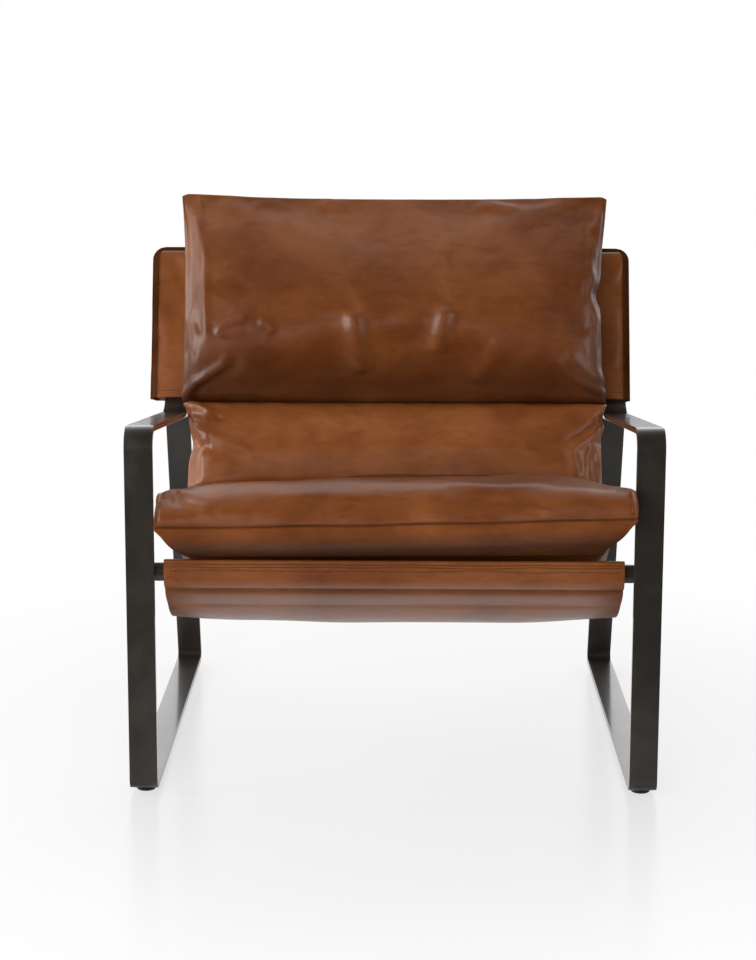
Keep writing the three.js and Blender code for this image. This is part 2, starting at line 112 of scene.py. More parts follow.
# Small tools

CURVE_STEPS = 40


def lerp(a, b, t):
    return a + (b - a) * t


def smooth(t):
    t = np.clip(t, 0, 1)
    return t * t * (3 - 2 * t)


def hill(distance, width):
    return np.exp(-((distance / width) ** 2))


def ripple(points, size, seed, waves=14):
    """Smooth seeded undulation, about -1 to 1, of the given typical size."""
    draw = np.random.RandomState(seed)
    total = np.zeros(len(points))
    for _ in range(waves):
        direction = draw.normal(size=3)
        direction /= np.linalg.norm(direction)
        pitch = 2 * math.pi / (size * draw.uniform(0.7, 1.6))
        total += np.sin(points @ direction * pitch + draw.uniform(0, 2 * math.pi))
    return total / math.sqrt(waves)


def spline(points, count):
    """Even points on a smooth curve through the given points."""
    p = np.array(points, float)
    ends = np.vstack([2 * p[0] - p[1], p, 2 * p[-1] - p[-2]])
    knots = np.concatenate([[0], np.cumsum(np.sqrt(np.linalg.norm(np.diff(ends, axis=0), axis=1)))])
    run = []
    for i in range(len(p) - 1):
        a, b, c, d = ends[i : i + 4]
        ka, kb, kc, kd = knots[i : i + 4]
        t = np.linspace(kb, kc, CURVE_STEPS, endpoint=False)[:, None]
        ab = lerp(a, b, (t - ka) / (kb - ka))
        bc = lerp(b, c, (t - kb) / (kc - kb))
        cd = lerp(c, d, (t - kc) / (kd - kc))
        early = lerp(ab, bc, (t - ka) / (kc - ka))
        late = lerp(bc, cd, (t - kb) / (kd - kb))
        run.append(lerp(early, late, (t - kb) / (kc - kb)))
    return resample(np.vstack([*run, p[-1:]]), count)


def resample(run, count):
    steps = np.linalg.norm(np.diff(run, axis=0), axis=1)
    length = np.concatenate([[0], np.cumsum(steps)])
    at = np.linspace(0, length[-1], count)
    return np.column_stack([np.interp(at, length, run[:, k]) for k in range(run.shape[1])])


def run_length(run):
    return np.linalg.norm(np.diff(run, axis=0), axis=1).sum()


def columns_across(count, crowding):
    """Shares of the half width from -1 to 1, closer together towards the sides."""
    across = np.sin(np.linspace(-1, 1, count) * math.pi / 2 * crowding)
    return across / across[-1]


def shade_smooth(mesh):
    mesh.polygons.foreach_set("use_smooth", [True] * len(mesh.polygons))


def make_mesh(name, points, faces):
    mesh = bpy.data.meshes.new(name)
    mesh.from_pydata([tuple(p) for p in points], [], [tuple(f) for f in faces])
    edit = bmesh.new()
    edit.from_mesh(mesh)
    bmesh.ops.recalc_face_normals(edit, faces=edit.faces)
    if edit.calc_volume(signed=True) < 0:
        bmesh.ops.reverse_faces(edit, faces=edit.faces)
    edit.to_mesh(mesh)
    edit.free()
    shade_smooth(mesh)
    piece = bpy.data.objects.new(name, mesh)
    bpy.context.scene.collection.objects.link(piece)
    return piece


def places(piece):
    co = np.empty(len(piece.data.vertices) * 3)
    piece.data.vertices.foreach_get("co", co)
    return co.reshape(-1, 3)


def set_places(piece, co):
    piece.data.vertices.foreach_set("co", np.asarray(co, float).ravel())
    piece.data.update()


def outward(piece):
    normals = np.empty(len(piece.data.vertices) * 3)
    piece.data.vertices.foreach_get("normal", normals)
    return normals.reshape(-1, 3)


def finer(piece):
    """One round of smooth subdivision, applied."""
    step = piece.modifiers.new("finer", "SUBSURF")
    step.levels = 1
    step.render_levels = 1
    shape = piece.evaluated_get(bpy.context.evaluated_depsgraph_get())
    mesh = bpy.data.meshes.new_from_object(shape)
    piece.modifiers.clear()
    piece.data = mesh
    shade_smooth(mesh)


# Folds drawn on the leather where the photograph shows them

VALLEY_PLACE, VALLEY_WIDTH = 2.3, 1.6


def beside_path(seen, path):
    """Signed distance of seen points from a path, right side positive, and the share along it."""
    steps = np.linalg.norm(np.diff(path, axis=0), axis=1)
    starts = np.concatenate([[0], np.cumsum(steps)])
    nearest = np.full(len(seen), np.inf)
    side = np.zeros(len(seen))
    share = np.zeros(len(seen))
    for i, (a, b) in enumerate(zip(path, path[1:])):
        along = b - a
        t = np.clip(((seen - a) @ along) / (along @ along), 0, 1)
        gap = seen - a - t[:, None] * along
        distance = np.hypot(gap[:, 0], gap[:, 1])
        closer = distance < nearest
        nearest = np.where(closer, distance, nearest)
        side = np.where(closer, np.sign(along[0] * gap[:, 1] - along[1] * gap[:, 0]), side)
        share = np.where(closer, (starts[i] + t * steps[i]) / starts[-1], share)
    return nearest * side, share


def add_folds(piece, folds):
    """Raises each fold on the side of the piece that the photograph shows.

    A fold is a path in photograph pixels, a rise in metres, a width in pixels and a valley on its right.
    """
    points, normals = places(piece), outward(piece)
    seen = photo_place(points)
    towards = np.array(CAMERA_PLACE) - points
    towards /= np.linalg.norm(towards, axis=1, keepdims=True)
    facing = smooth((np.sum(normals * towards, axis=1) - 0.02) / 0.25)
    move = np.zeros(len(points))
    for path, rise, width, valley in folds.values():
        distance, share = beside_path(seen, np.array(path, float))
        dip = valley * hill(distance - VALLEY_PLACE * width, VALLEY_WIDTH * width)
        ends = smooth(5 * np.minimum(share, 1 - share) + 0.1)
        move += rise * (hill(distance, width) - dip) * ends
    set_places(piece, points + normals * (move * facing)[:, None])


# Sling curve in the side view

FRONT_PULL, FRONT_ANGLE = 0.170, math.radians(60)
BACK_PULL = 0.270
SLING_START = BAR_YZ - np.array([0, SLEEVE_MIDDLE])
SLING_END = BACK_CORNER + UP_BACK * HEM_HEIGHT + OUT_BACK * (HOOD_HALF_DEPTH - LEATHER / 2)
SLING_PULLS = [
    SLING_START,
    SLING_START + FRONT_PULL * np.array([math.cos(FRONT_ANGLE), -math.sin(FRONT_ANGLE)]),
    SLING_END - BACK_PULL * UP_BACK,
    SLING_END,
]


def back_point(height, out=0.0):
    return BACK_CORNER + UP_BACK * height + OUT_BACK * (HOOD_HALF_DEPTH + REST_GAP + out)


def sling_point(share):
    share = np.asarray(share, float)[..., None]
    a, b, c, d = SLING_PULLS
    s = 1 - share
    return a * s**3 + 3 * b * s**2 * share + 3 * c * s * share**2 + d * share**3


def sling_side(share):
    step = 1e-4
    along = sling_point(share + step) - sling_point(share - step)
    along /= np.linalg.norm(along, axis=-1, keepdims=True)
    return np.stack([-along[..., 1], along[..., 0]], -1)


def sag(share, across):
    return -SLING_SAG * np.sin(math.pi * share) ** 2 * (1 - across**4)


def rest_point(share, height=0.0):
    lift = LEATHER / 2 + REST_GAP + height
    return sling_point(share) + sling_side(share) * lift + np.array([0, sag(share, 0)])


# Nodes of materials and of the world, whose owner is the material or the world


def add_node(owner, kind, **values):
    node = owner.node_tree.nodes.new(kind)
    for key, value in values.items():
        if key in node.inputs:
            node.inputs[key].default_value = value
        else:
            setattr(node, key, value)
    return node


def link(owner, source, target):
    owner.node_tree.links.new(source, target)


def feed(owner, socket, value):
    """Links a socket, or sets it to a number or a colour."""
    if isinstance(value, bpy.types.NodeSocket):
        link(owner, value, socket)
    elif isinstance(value, (int, float)):
        socket.default_value = value
    else:
        socket.default_value = (*value, 1)


def position(owner):
    return add_node(owner, "ShaderNodeNewGeometry").outputs["Position"]


def split_axes(owner, vector):
    node = add_node(owner, "ShaderNodeSeparateXYZ")
    link(owner, vector, node.inputs[0])
    return node.outputs


def calculate(owner, operation, *values):
    node = add_node(owner, "ShaderNodeMath", operation=operation)
    for socket, value in zip(node.inputs, values):
        feed(owner, socket, value)
    return node.outputs[0]


def map_range(owner, value, low, high, curve="LINEAR"):
    """Turns a value into a result: low and high are each a value with its result."""
    node = add_node(owner, "ShaderNodeMapRange", interpolation_type=curve)
    for end, (given, result) in (("Min", low), ("Max", high)):
        node.inputs[f"From {end}"].default_value = given
        node.inputs[f"To {end}"].default_value = result
    link(owner, value, node.inputs["Value"])
    return node.outputs[0]


def mix_shaders(owner, share, first, second, output):
    node = add_node(owner, "ShaderNodeMixShader")
    for socket, source in zip(node.inputs, (share, first.outputs[0], second.outputs[0])):
        link(owner, source, socket)
    link(owner, node.outputs[0], output.inputs[0])


def ramp(owner, source, stops):
    node = add_node(owner, "ShaderNodeValToRGB")
    elements = node.color_ramp.elements
    while len(elements) < len(stops):
        elements.new(0.5)
    for element, (place, color) in zip(elements, stops):
        element.position = place
        element.color = (*color, 1)
    link(owner, source, node.inputs[0])
    return node.outputs[0]


def noise(owner, vector, scale, detail=4.0, rough=0.55, warp=0.0):
    node = add_node(owner, "ShaderNodeTexNoise", Scale=scale, Detail=detail)
    node.inputs["Roughness"].default_value = rough
    node.inputs["Distortion"].default_value = warp
    link(owner, vector, node.inputs["Vector"])
    return node.outputs[0]


def mix(owner, factor, a, b, blend="MIX"):
    node = add_node(owner, "ShaderNodeMix", data_type="RGBA", blend_type=blend)
    for socket, value in ((node.inputs[0], factor), (node.inputs[6], a), (node.inputs[7], b)):
        feed(owner, socket, value)
    return node.outputs[2]


def bump(owner, height, strength, distance, under=None):
    node = add_node(owner, "ShaderNodeBump", Strength=strength, Distance=distance)
    link(owner, height, node.inputs["Height"])
    if under is not None:
        link(owner, under, node.inputs["Normal"])
    return node.outputs[0]


# Materials

WHITE = (1, 1, 1)
STREAK_DARK, STREAK_LIGHT = (0.80, 0.77, 0.74), (1.12, 1.10, 1.08)
SPECK_DARK = (0.88, 0.87, 0.86)
# Colour and roughness that worn edges and painted shade darken towards
DARK_WEAR_AND_SHADE, WEAR_AND_SHADE_ROUGHNESS = (0.030, 0.009, 0.003), (0.5, 0.5, 0.5)
CUSHION_TONES = ((0.112, 0.029, 0.0065), (0.165, 0.049, 0.012), (0.218, 0.071, 0.019))
LUMBAR_TONES = ((0.160, 0.044, 0.011), (0.225, 0.070, 0.0190), (0.286, 0.096, 0.029))
SLING_TONES = ((0.122, 0.033, 0.0075), (0.166, 0.050, 0.012), (0.208, 0.067, 0.018))
EDGE_TONES = ((0.036, 0.011, 0.003), (0.052, 0.016, 0.005), (0.070, 0.023, 0.008))
STEEL_TONES = ((0.020, 0.017, 0.0142), (0.031, 0.0255, 0.0208), (0.047, 0.038, 0.031))
SCUFF = (1.7, 1.6, 1.5)


def new_material(name):
    material = bpy.data.materials.new(name)
    material.use_nodes = True
    material.node_tree.nodes.clear()
    output = add_node(material, "ShaderNodeOutputMaterial")
    shader = add_node(material, "ShaderNodeBsdfPrincipled")
    link(material, shader.outputs[0], output.inputs[0])
    return material, shader


def leather(name, tones, gloss, shine=0.5, coat=0.10):
    """Waxed leather: mottled colour, fine grain, small creases, and gloss that varies."""
    material, shader = new_material(name)
    place = position(material)
    deep, body, light = tones
    clouds = noise(material, place, 7.0, 3.0, 0.6, 0.6)
    stretch = add_node(material, "ShaderNodeMapping", Scale=(1.0, 2.2, 2.6), Rotation=(0.0, 0.5, 0.0))
    link(material, place, stretch.inputs["Vector"])
    streaks = noise(material, stretch.outputs[0], 22.0, 5.0, 0.6, 1.4)
    specks = noise(material, place, 420.0, 2.0, 0.5)
    base = ramp(material, clouds, [(0.30, deep), (0.52, body), (0.74, light)])
    fine = ramp(material, streaks, [(0.30, STREAK_DARK), (0.52, WHITE), (0.74, STREAK_LIGHT)])
    base = mix(material, 0.8, base, fine, "MULTIPLY")
    dots = ramp(material, specks, [(0.30, SPECK_DARK), (0.5, WHITE)])
    base = mix(material, 0.5, base, dots, "MULTIPLY")
    # Darkening from the points: wear on seams and cut edges, and painted shade in creases and on down-turned
    # faces
    darkened = add_node(material, "ShaderNodeAttribute", attribute_name="wear_and_shade")
    base = mix(material, darkened.outputs["Fac"], base, DARK_WEAR_AND_SHADE)
    link(material, base, shader.inputs["Base Color"])
    rough = ramp(material, streaks, [(0.25, (gloss - 0.07,) * 3), (0.75, (gloss + 0.08,) * 3)])
    rough = mix(material, darkened.outputs["Fac"], rough, WEAR_AND_SHADE_ROUGHNESS)
    link(material, rough, shader.inputs["Roughness"])
    pores = add_node(material, "ShaderNodeTexVoronoi", Scale=620.0)
    link(material, place, pores.inputs["Vector"])
    grain = bump(material, pores.outputs["Distance"], 0.10, 0.0006)
    creases = noise(material, place, 62.0, 5.0, 0.62, 1.2)
    grain = bump(material, creases, 0.16, 0.0022, grain)
    waves = noise(material, place, 17.0, 2.0, 0.5, 0.3)
    grain = bump(material, waves, 0.13, 0.008, grain)
    link(material, grain, shader.inputs["Normal"])
    shader.inputs["Specular IOR Level"].default_value = shine
    shader.inputs["Coat Weight"].default_value = coat
    shader.inputs["Coat Roughness"].default_value = 0.22
    return material


def gunmetal():
    """Dark steel under a thin satin lacquer, with faint patches and scuffs."""
    material, shader = new_material("gunmetal_steel")
    place = position(material)
    patches = noise(material, place, 14.0, 4.0, 0.6, 0.5)
    scuffs = noise(material, place, 160.0, 3.0, 0.7, 2.0)
    dark, middle, light = STEEL_TONES
    base = ramp(material, patches, [(0.3, dark), (0.55, middle), (0.8, light)])
    marks = ramp(material, scuffs, [(0.60, WHITE), (0.72, SCUFF)])
    base = mix(material, 0.6, base, marks, "MULTIPLY")
    link(material, base, shader.inputs["Base Color"])
    rough = ramp(material, patches, [(0.3, (0.34,) * 3), (0.75, (0.46,) * 3)])
    link(material, rough, shader.inputs["Roughness"])
    link(material, bump(material, scuffs, 0.05, 0.0008), shader.inputs["Normal"])
    shader.inputs["Metallic"].default_value = 0.3
    shader.inputs["Specular IOR Level"].default_value = 0.6
    shader.inputs["Coat Weight"].default_value = 1.0
    shader.inputs["Coat Roughness"].default_value = 0.12
    return material


def plain(name, color, roughness, metallic=0.0, grain=300.0):
    material, shader = new_material(name)
    speckle = noise(material, position(material), grain, 3.0)
    dark = [c * 0.75 for c in color]
    light = [min(c * 1.25, 1) for c in color]
    shade = ramp(material, speckle, [(0.3, dark), (0.7, light)])
    link(material, shade, shader.inputs["Base Color"])
    link(material, bump(material, speckle, 0.12, 0.0006), shader.inputs["Normal"])
    shader.inputs["Roughness"].default_value = roughness
    shader.inputs["Metallic"].default_value = metallic
    return material


CUSHION_LEATHER = leather("cushion_leather", CUSHION_TONES, 0.36)
LUMBAR_LEATHER = leather("lumbar_leather", LUMBAR_TONES, 0.36)
SLING_LEATHER = leather("sling_leather", SLING_TONES, 0.35)
EDGE_LEATHER = leather("edge_leather", EDGE_TONES, 0.6, 0.0, 0.0)
PANEL_LEATHER = leather("panel_leather", CUSHION_TONES, 0.5, 0.15, 0.0)
STEEL = gunmetal()
GLIDE = plain("glide_black", (0.012, 0.012, 0.012), 0.6)
SCREW = plain("screw_zinc", (0.42, 0.42, 0.41), 0.32, 1.0)
THREAD = plain("seam_thread", (0.045, 0.016, 0.007), 0.65, 0.0, 900.0)


def wear_and_shade(piece, amount):
    """Darkens worn and sewn edges, and paints shade in creases and on faces that turn down: amount is from 0
    to 1 at each point.
    """
    layer = piece.data.attributes.new("wear_and_shade", "FLOAT", "POINT")
    layer.data.foreach_set("value", np.clip(amount, 0, 1))


# Steel frame: the frame's own bars, with softly broken edges

FLAT_BAR_EDGE, ROUND_BAR_EDGE = 0.0008, 0.0006


def soften(node, width):
    """Rounded edges and smooth bends on a bar of the frame, as modifiers."""
    weld = node.modifiers.new("weld", "WELD")
    weld.merge_threshold = 1e-5
    edge = node.modifiers.new("edge", "BEVEL")
    edge.width = width
    edge.segments = 2
    edge.limit_method = "ANGLE"
    edge.angle_limit = math.radians(35)
    shade_smooth(node.data)
    node.modifiers.new("flat_faces", "WEIGHTED_NORMAL")


def dress(node_name, material):
    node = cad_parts[node_name]
    node.data.materials.clear()
    node.data.materials.append(material)
    return node


for side in ("left", "right"):
    for bar in ("arm_bar", "sled_bar"):
        soften(dress(f"{side}_{bar}", STEEL), FLAT_BAR_EDGE)
    for end in ("front", "rear"):
        dress(f"{end}_{side}_glide", GLIDE)
        dress(f"{end}_{side}_glide_screw", SCREW)
for bar in ("front_bar", "rear_stretcher", "back_top_rail"):
    soften(dress(bar, STEEL), ROUND_BAR_EDGE)


# Cushion sections: rings of points across the width, each a closed outline in the side view

PAIRS = 60
END_STEPS = 3
HALF_STATIONS = np.concatenate([np.linspace(0, 0.90, 34), np.linspace(0.90, 1.0, 13)[1:]])
CAP_SCALES = (0.86, 0.60, 0.30, 0.06)
CAP_DOME = 0.006
SEAM_GAP = 0.004
SEAM_DEPTH = 0.003
SWELL_LIMIT = 0.022
CALM_ALONG, CALM_INSIDE = 0.22, 0.28
CALM_RATE, CALM_PASSES = 0.6, 14
CLOTH_FRAMES = 20
CLOTH_SETTINGS = {
    "quality": 8,
    "mass": 0.2,
    "tension_stiffness": 8000,
    "compression_stiffness": 8000,
    "shear_stiffness": 2700,
    "bending_stiffness": 3,
    "tension_damping": 25,
    "compression_damping": 25,
    "shear_damping": 25,
    "bending_damping": 1,
    "air_damping": 5,
}


def cushion_rings(rest, shown, rest_half, shown_half, edges, power, sewn_ends, round_passes, held=0.0):
    """Closed outlines from the left cap to the right cap, thinner towards the sides past the held share."""
    share = np.clip((np.linspace(0, 1, len(rest)) - held) / (1 - held), 0, 1)
    seam = (rest + shown) / 2
    edge = lerp(edges[0], edges[1], share)[:, None]
    between = np.linspace(0, 1, END_STEPS + 2)[1:-1, None]

    def outline(scale):
        low = seam + (rest - seam) * scale
        high = seam + (shown - seam) * scale
        first, last = lerp(high[0], low[0], between), lerp(low[-1], high[-1], between)
        ends = ((first, sewn_ends[0], seam[1] - seam[0]), (last, sewn_ends[1], seam[-2] - seam[-1]))
        for part, sewn, inward in ends:
            if sewn:
                part[END_STEPS // 2] += inward / np.linalg.norm(inward) * SEAM_DEPTH
        run = np.vstack([first, low, last, high[::-1]])
        for _ in range(round_passes):
            run = 0.5 * run + 0.25 * (np.roll(run, 1, 0) + np.roll(run, -1, 0))
        return run

    ends = [np.full(END_STEPS, shown_half[k]) for k in (0, -1)]
    halves = np.concatenate([ends[0], rest_half, ends[1], shown_half[::-1]])
    rows = [(a, outline(edge + (1 - edge) * math.sqrt(max(0.0, 1 - a**power)))) for a in HALF_STATIONS]
    side = [np.column_stack([a * halves, run]) for a, run in rows]
    end_run = rows[-1][1]
    middle_run = outline(np.zeros_like(edge))
    middle_half = np.full(len(halves), (rest_half.mean() + shown_half.mean()) / 2)
    for scale in CAP_SCALES:
        x = lerp(middle_half, halves, scale) + CAP_DOME * math.sqrt(1 - scale**2)
        side.append(np.column_stack([x, lerp(middle_run, end_run, scale)]))
    right = np.array(side)
    left = right[:0:-1] * np.array([-1, 1, 1])
    return np.concatenate([left, right])


def pair_count(rings):
    """Points on each of the two faces of a ring."""
    return (rings.shape[1] - END_STEPS * 2) // 2


def loft(name, rings):
    stations, size, _ = rings.shape
    faces = []
    for k in range(stations - 1):
        for i in range(size):
            j = (i + 1) % size
            faces.append((k * size + i, k * size + j, (k + 1) * size + j, (k + 1) * size + i))
    half = pair_count(rings)
    for start in (0, (stations - 1) * size):
        low = [start + END_STEPS + i for i in range(half)]
        high = [start + size - 1 - i for i in range(half)]
        for i in range(half - 1):
            faces.append((low[i], low[i + 1], high[i + 1], high[i]))
        first = [high[0], *[start + i for i in range(END_STEPS)], low[0]]
        last = [low[-1], *[start + END_STEPS + half + i for i in range(END_STEPS)], high[-1]]
        faces.extend([first, last])
    return make_mesh(name, rings.reshape(-1, 3), faces)


def calmed(moved, shape, calm):
    """Evens out the finest ripples of a movement, most where calm is 1."""
    field = moved.reshape(*shape, 3).copy()
    share = calm.reshape(*shape, 1)
    for _ in range(CALM_PASSES):
        around = np.roll(field, 1, 1) + np.roll(field, -1, 1)
        around[1:-1] += field[2:] + field[:-2]
        around[1:-1] /= 4
        around[[0, -1]] /= 2
        field += share * CALM_RATE * (around - field)
    return field.reshape(-1, 3)


def calm_share(rings):
    """0 at the seams and sides of the shown face, 1 a hand's breadth inside."""
    pairs = pair_count(rings)
    share = np.zeros(rings.shape[:2])
    run = np.linspace(0, 1, pairs)
    along = smooth(np.minimum(run, 1 - run) / CALM_ALONG)
    inside = smooth((1 - np.abs(rings[:, 0, 0]) / np.abs(rings[:, 0, 0]).max()) / CALM_INSIDE)
    share[:, -pairs:] = along[None, :] * inside[:, None]
    return share.ravel()


def inflate(piece, rings, pinned, growth, pressure):
    """Swells a stuffed section: its free leather is cut a little large and pressed out."""
    start = places(piece)
    group = piece.vertex_groups.new(name="pinned")
    group.add([int(i) for i in np.flatnonzero(pinned)], 1.0, "REPLACE")
    cloth = piece.modifiers.new("leather", "CLOTH")
    settings = cloth.settings
    for name, value in CLOTH_SETTINGS.items():
        setattr(settings, name, value)
    settings.vertex_group_mass = "pinned"
    settings.shrink_min = -growth
    settings.use_pressure = True
    settings.uniform_pressure_force = pressure
    settings.effector_weights.gravity = 0
    cloth.point_cache.frame_start = 1
    cloth.point_cache.frame_end = CLOTH_FRAMES
    scene = bpy.context.scene
    for step in range(1, CLOTH_FRAMES + 1):
        scene.frame_set(step)
    shape = piece.evaluated_get(bpy.context.evaluated_depsgraph_get())
    moved = places(shape) - start
    piece.modifiers.remove(cloth)
    piece.vertex_groups.clear()
    scene.frame_set(1)
    moved = calmed(moved, rings.shape[:2], calm_share(rings))
    length = np.linalg.norm(moved, axis=1, keepdims=True)
    kept = moved * SWELL_LIMIT * np.tanh(length / SWELL_LIMIT) / np.maximum(length, 1e-9)
    set_places(piece, start + kept)


def sewn_points(rings, boxed):
    """Marks all but the shown face, the middles of the caps, and the side edges of a boxed front."""
    marks = np.ones(rings.shape[:2], bool)
    marks[:, -pair_count(rings) :] = False
    marks[[0, 1, -2, -1]] = True
    length = int(boxed * (rings.shape[1] - END_STEPS * 2) / 2)
    for row in (len(CAP_SCALES), len(rings) - 1 - len(CAP_SCALES)):
        marks[row, rings.shape[1] - length :] = True
    return marks.ravel()


def drawn_in(first, last, draw, count, held=0.0):
    share = np.clip((np.linspace(0, 1, count) - held) / (1 - held), 0, 1)
    return lerp(first, last, share) - draw * (1 - (2 * share - 1) ** 2)


def finish_piece(piece, body, material, replaced=()):
    piece.data.materials.clear()
    piece.data.materials.append(material)
    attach(piece, body)
    if replaced:
        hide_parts(*replaced)
    return piece


def make_cushion(name, make, folds, growth, pressure, settle, material, boxed=0.0):
    rings = make()
    cushion = loft(f"{name}_cushion", rings)
    inflate(cushion, rings, sewn_points(rings, boxed), growth, pressure)
    finer(cushion)
    wear_and_shade(cushion, settle(cushion))
    add_folds(cushion, folds)
    inner = [f"{name}_cushion_{part}" for part in ("cover", "core", "zip")]
    finish_piece(cushion, "cushion", material, inner)
    return cushion


# Where the sections meet: shares along the sling, and depths above it

HALF_SEAT = INNER_X - 0.004
HALF_LUMBAR = INNER_X - 0.0140
HALF_LUMBAR_TOP = INNER_X + 0.0040
HALF_HEAD = INNER_X + 0.006
CREASE_SHARE, CREASE_DEPTH = 0.80, 0.058
CHANNEL_SHARE, CHANNEL_DEPTH = 0.978, 0.062

# Seat section: its outline is given from the front seam, back and up

SEAT_SEAM = np.array([LEG_FACE_Y - 0.049, BAR_YZ[1] + 0.084])
SEAT_UNDER = [(0.000, -0.014), (0.004, -0.024), (0.016, -0.033), (0.034, -0.043), (0.049, -0.052)]
SEAT_ROLL, SEAT_ROLL_TOP = (-0.002, 0.016), (0.023, 0.035)
SEAT_OVER_SLEEVE = [(-0.004, 0.0225), (0.010, 0.0225)]
SEAT_BEHIND_SLEEVE = (0.045, 0)
SEAT_LANDING = 0.34
SEAT_FRONT_SHARE = 0.17
SEAT_TAPER, SEAT_TAPER_SHARE, SEAT_TAPER_POWER = 0.036, 0.13, 0.68
SEAM_DROP, SEAM_TILT, SEAM_CURL = -0.004, 0.0077, 0.0018
SEAM_SINK, SEAM_WIDTH, SEAM_LINE = 0.0045, 0.0018, 0.0013
SEAT_SHIFT = 0.002
SEAT_LEFT_DROP, SEAT_RIGHT_DROP = 0.020, 0.006
SEAT_LEFT_CORNER, SEAT_RIGHT_CORNER = 0.008, 0.004
# Painted shade: darker towards the bottom of the panel under the front seam, and a little over the whole seat
PANEL_SHADE, SEAT_SHADE = 0.62, 0.14
PANEL_DEPTH = 0.05
SEAT_FOLDS = {
    "left_box_edge": ([(158.5, 490), (157.5, 508), (157, 526)], -0.002, 1.6, 0.0),
    "right_box_edge": ([(631.5, 489), (634, 505), (634.5, 522)], -0.002, 1.6, 0.0),
    "left_corner": ([(180, 499), (192, 505), (206, 509), (198, 518)], 0.002, 3.5, 0.8),
    "left_top": ([(176, 492), (206, 497)], 0.002, 4, 0.6),
    "left_crown": ([(260, 498), (330, 496), (420, 500)], 0.0015, 5, 0.6),
    "right_crown": ([(440, 483), (500, 488), (560, 481)], 0.0020, 4, 0.7),
    "seam_pucker": ([(497, 528), (503, 536)], 0.0012, 3, 0.6),
    "next_pucker": ([(510, 527), (516, 536)], 0.0012, 3, 0.6),
}


def seat_rings():
    foot, top = rest_point(CREASE_SHARE), rest_point(CREASE_SHARE, CREASE_DEPTH)
    half_seam = np.array([0, SEAM_GAP / 2])
    roll = SEAT_SEAM + np.array(SEAT_ROLL)
    roll_top = SEAT_SEAM + np.array(SEAT_ROLL_TOP)
    middle = lerp(roll_top, top, 0.45) + np.array([0, 0.004])
    rear = lerp(roll_top, top, 0.75) - np.array([0, 0.003])
    under = [
        SEAT_SEAM - half_seam,
        *[SEAT_SEAM + np.array(step) for step in SEAT_UNDER],
        *[BAR_YZ + np.array(step) for step in (*SEAT_OVER_SLEEVE, SEAT_BEHIND_SLEEVE)],
        *[rest_point(s) for s in np.linspace(SEAT_LANDING, CREASE_SHARE, 10)[:-1]],
        foot,
    ]
    along = np.clip(np.linspace(0, 1, PAIRS) / SEAT_TAPER_SHARE, 0, 1)
    taper = HALF_SEAT - SEAT_TAPER * along**SEAT_TAPER_POWER
    return cushion_rings(
        spline(under, PAIRS),
        spline([SEAT_SEAM + half_seam, roll, roll_top, middle, rear, top], PAIRS),
        rest_half=np.minimum(taper, drawn_in(HALF_SEAT, HALF_LUMBAR, 0.010, PAIRS)),
        shown_half=drawn_in(HALF_SEAT, HALF_LUMBAR - 0.006, 0.006, PAIRS, SEAT_FRONT_SHARE),
        edges=(0.985, 0.45),
        power=16,
        sewn_ends=(True, False),
        round_passes=1,
        held=SEAT_FRONT_SHARE,
    )


def seam_lift(across):
    """How far the finished front seam stands from its plain height."""
    return SEAM_DROP + SEAM_TILT * across + SEAM_CURL * across**2


def settle_seat(seat):
    """Front seam sunk between the panels and higher on the right; the left half sat in a little."""
    points = places(seat)
    x, y, z = points.T
    wander = 0.0005 * np.sin(x * 37)
    distance = np.hypot(y - SEAT_SEAM[0], z - SEAT_SEAM[1] - wander)
    corner = np.hypot(np.abs(x) - HALF_SEAT, np.minimum(0, LEG_FACE_Y - 0.012 - y))
    corner = np.where(z > SEAT_SEAM[1], corner, 1)
    under_front = smooth((LEG_FACE_Y + 0.03 - y) / 0.03)
    # Painted shade on the lower front panel, darkest at its bottom, and a little over all the seat
    shade = SEAT_SHADE + PANEL_SHADE * smooth((SEAT_SEAM[1] - 0.008 - z) / 0.032) * under_front
    y += SEAM_SINK * hill(distance, SEAM_WIDTH)
    across = x / HALF_SEAT
    ends = SEAT_LEFT_CORNER * smooth((-across - 0.7) / 0.3) + SEAT_RIGHT_CORNER * smooth((across - 0.7) / 0.3)
    z -= ends * smooth((z - SEAT_SEAM[1] - 0.002) / 0.025)
    z += seam_lift(across) * smooth((LEG_FACE_Y + 0.04 - y) / 0.07)
    on_top = smooth((z - 0.345) / 0.02) * smooth((y - LEG_FACE_Y - 0.005) / 0.09)
    drop = SEAT_LEFT_DROP * smooth((-across - 0.1) / 0.4) + SEAT_RIGHT_DROP * smooth((across - 0.6) / 0.35)
    z -= drop * on_top
    x += SEAT_SHIFT * smooth((LEG_FACE_Y - y) / 0.02)
    limit = INNER_X - 0.0008 + 0.008 * smooth((LEG_FACE_Y - 0.002 - y) / 0.01)
    np.clip(x, -limit, limit, out=x)
    set_places(seat, points)
    # Darkening returned: the painted shade, a dark line along the front seam and dark box edges
    return np.maximum(shade, np.maximum(0.95 * hill(distance, SEAM_LINE), 0.8 * hill(corner, 0.0014)))


def dull_panel(seat):
    """The panel below the seat's front seam has less gloss than the rest."""
    points = places(seat)
    seat.data.materials.append(PANEL_LEATHER)
    for polygon in seat.data.polygons:
        x, y, z = points[list(polygon.vertices)].mean(axis=0)
        below = z < SEAT_SEAM[1] + seam_lift(x / HALF_SEAT)
        polygon.material_index = int(below and y < LEG_FACE_Y + PANEL_DEPTH)


# Lumbar section

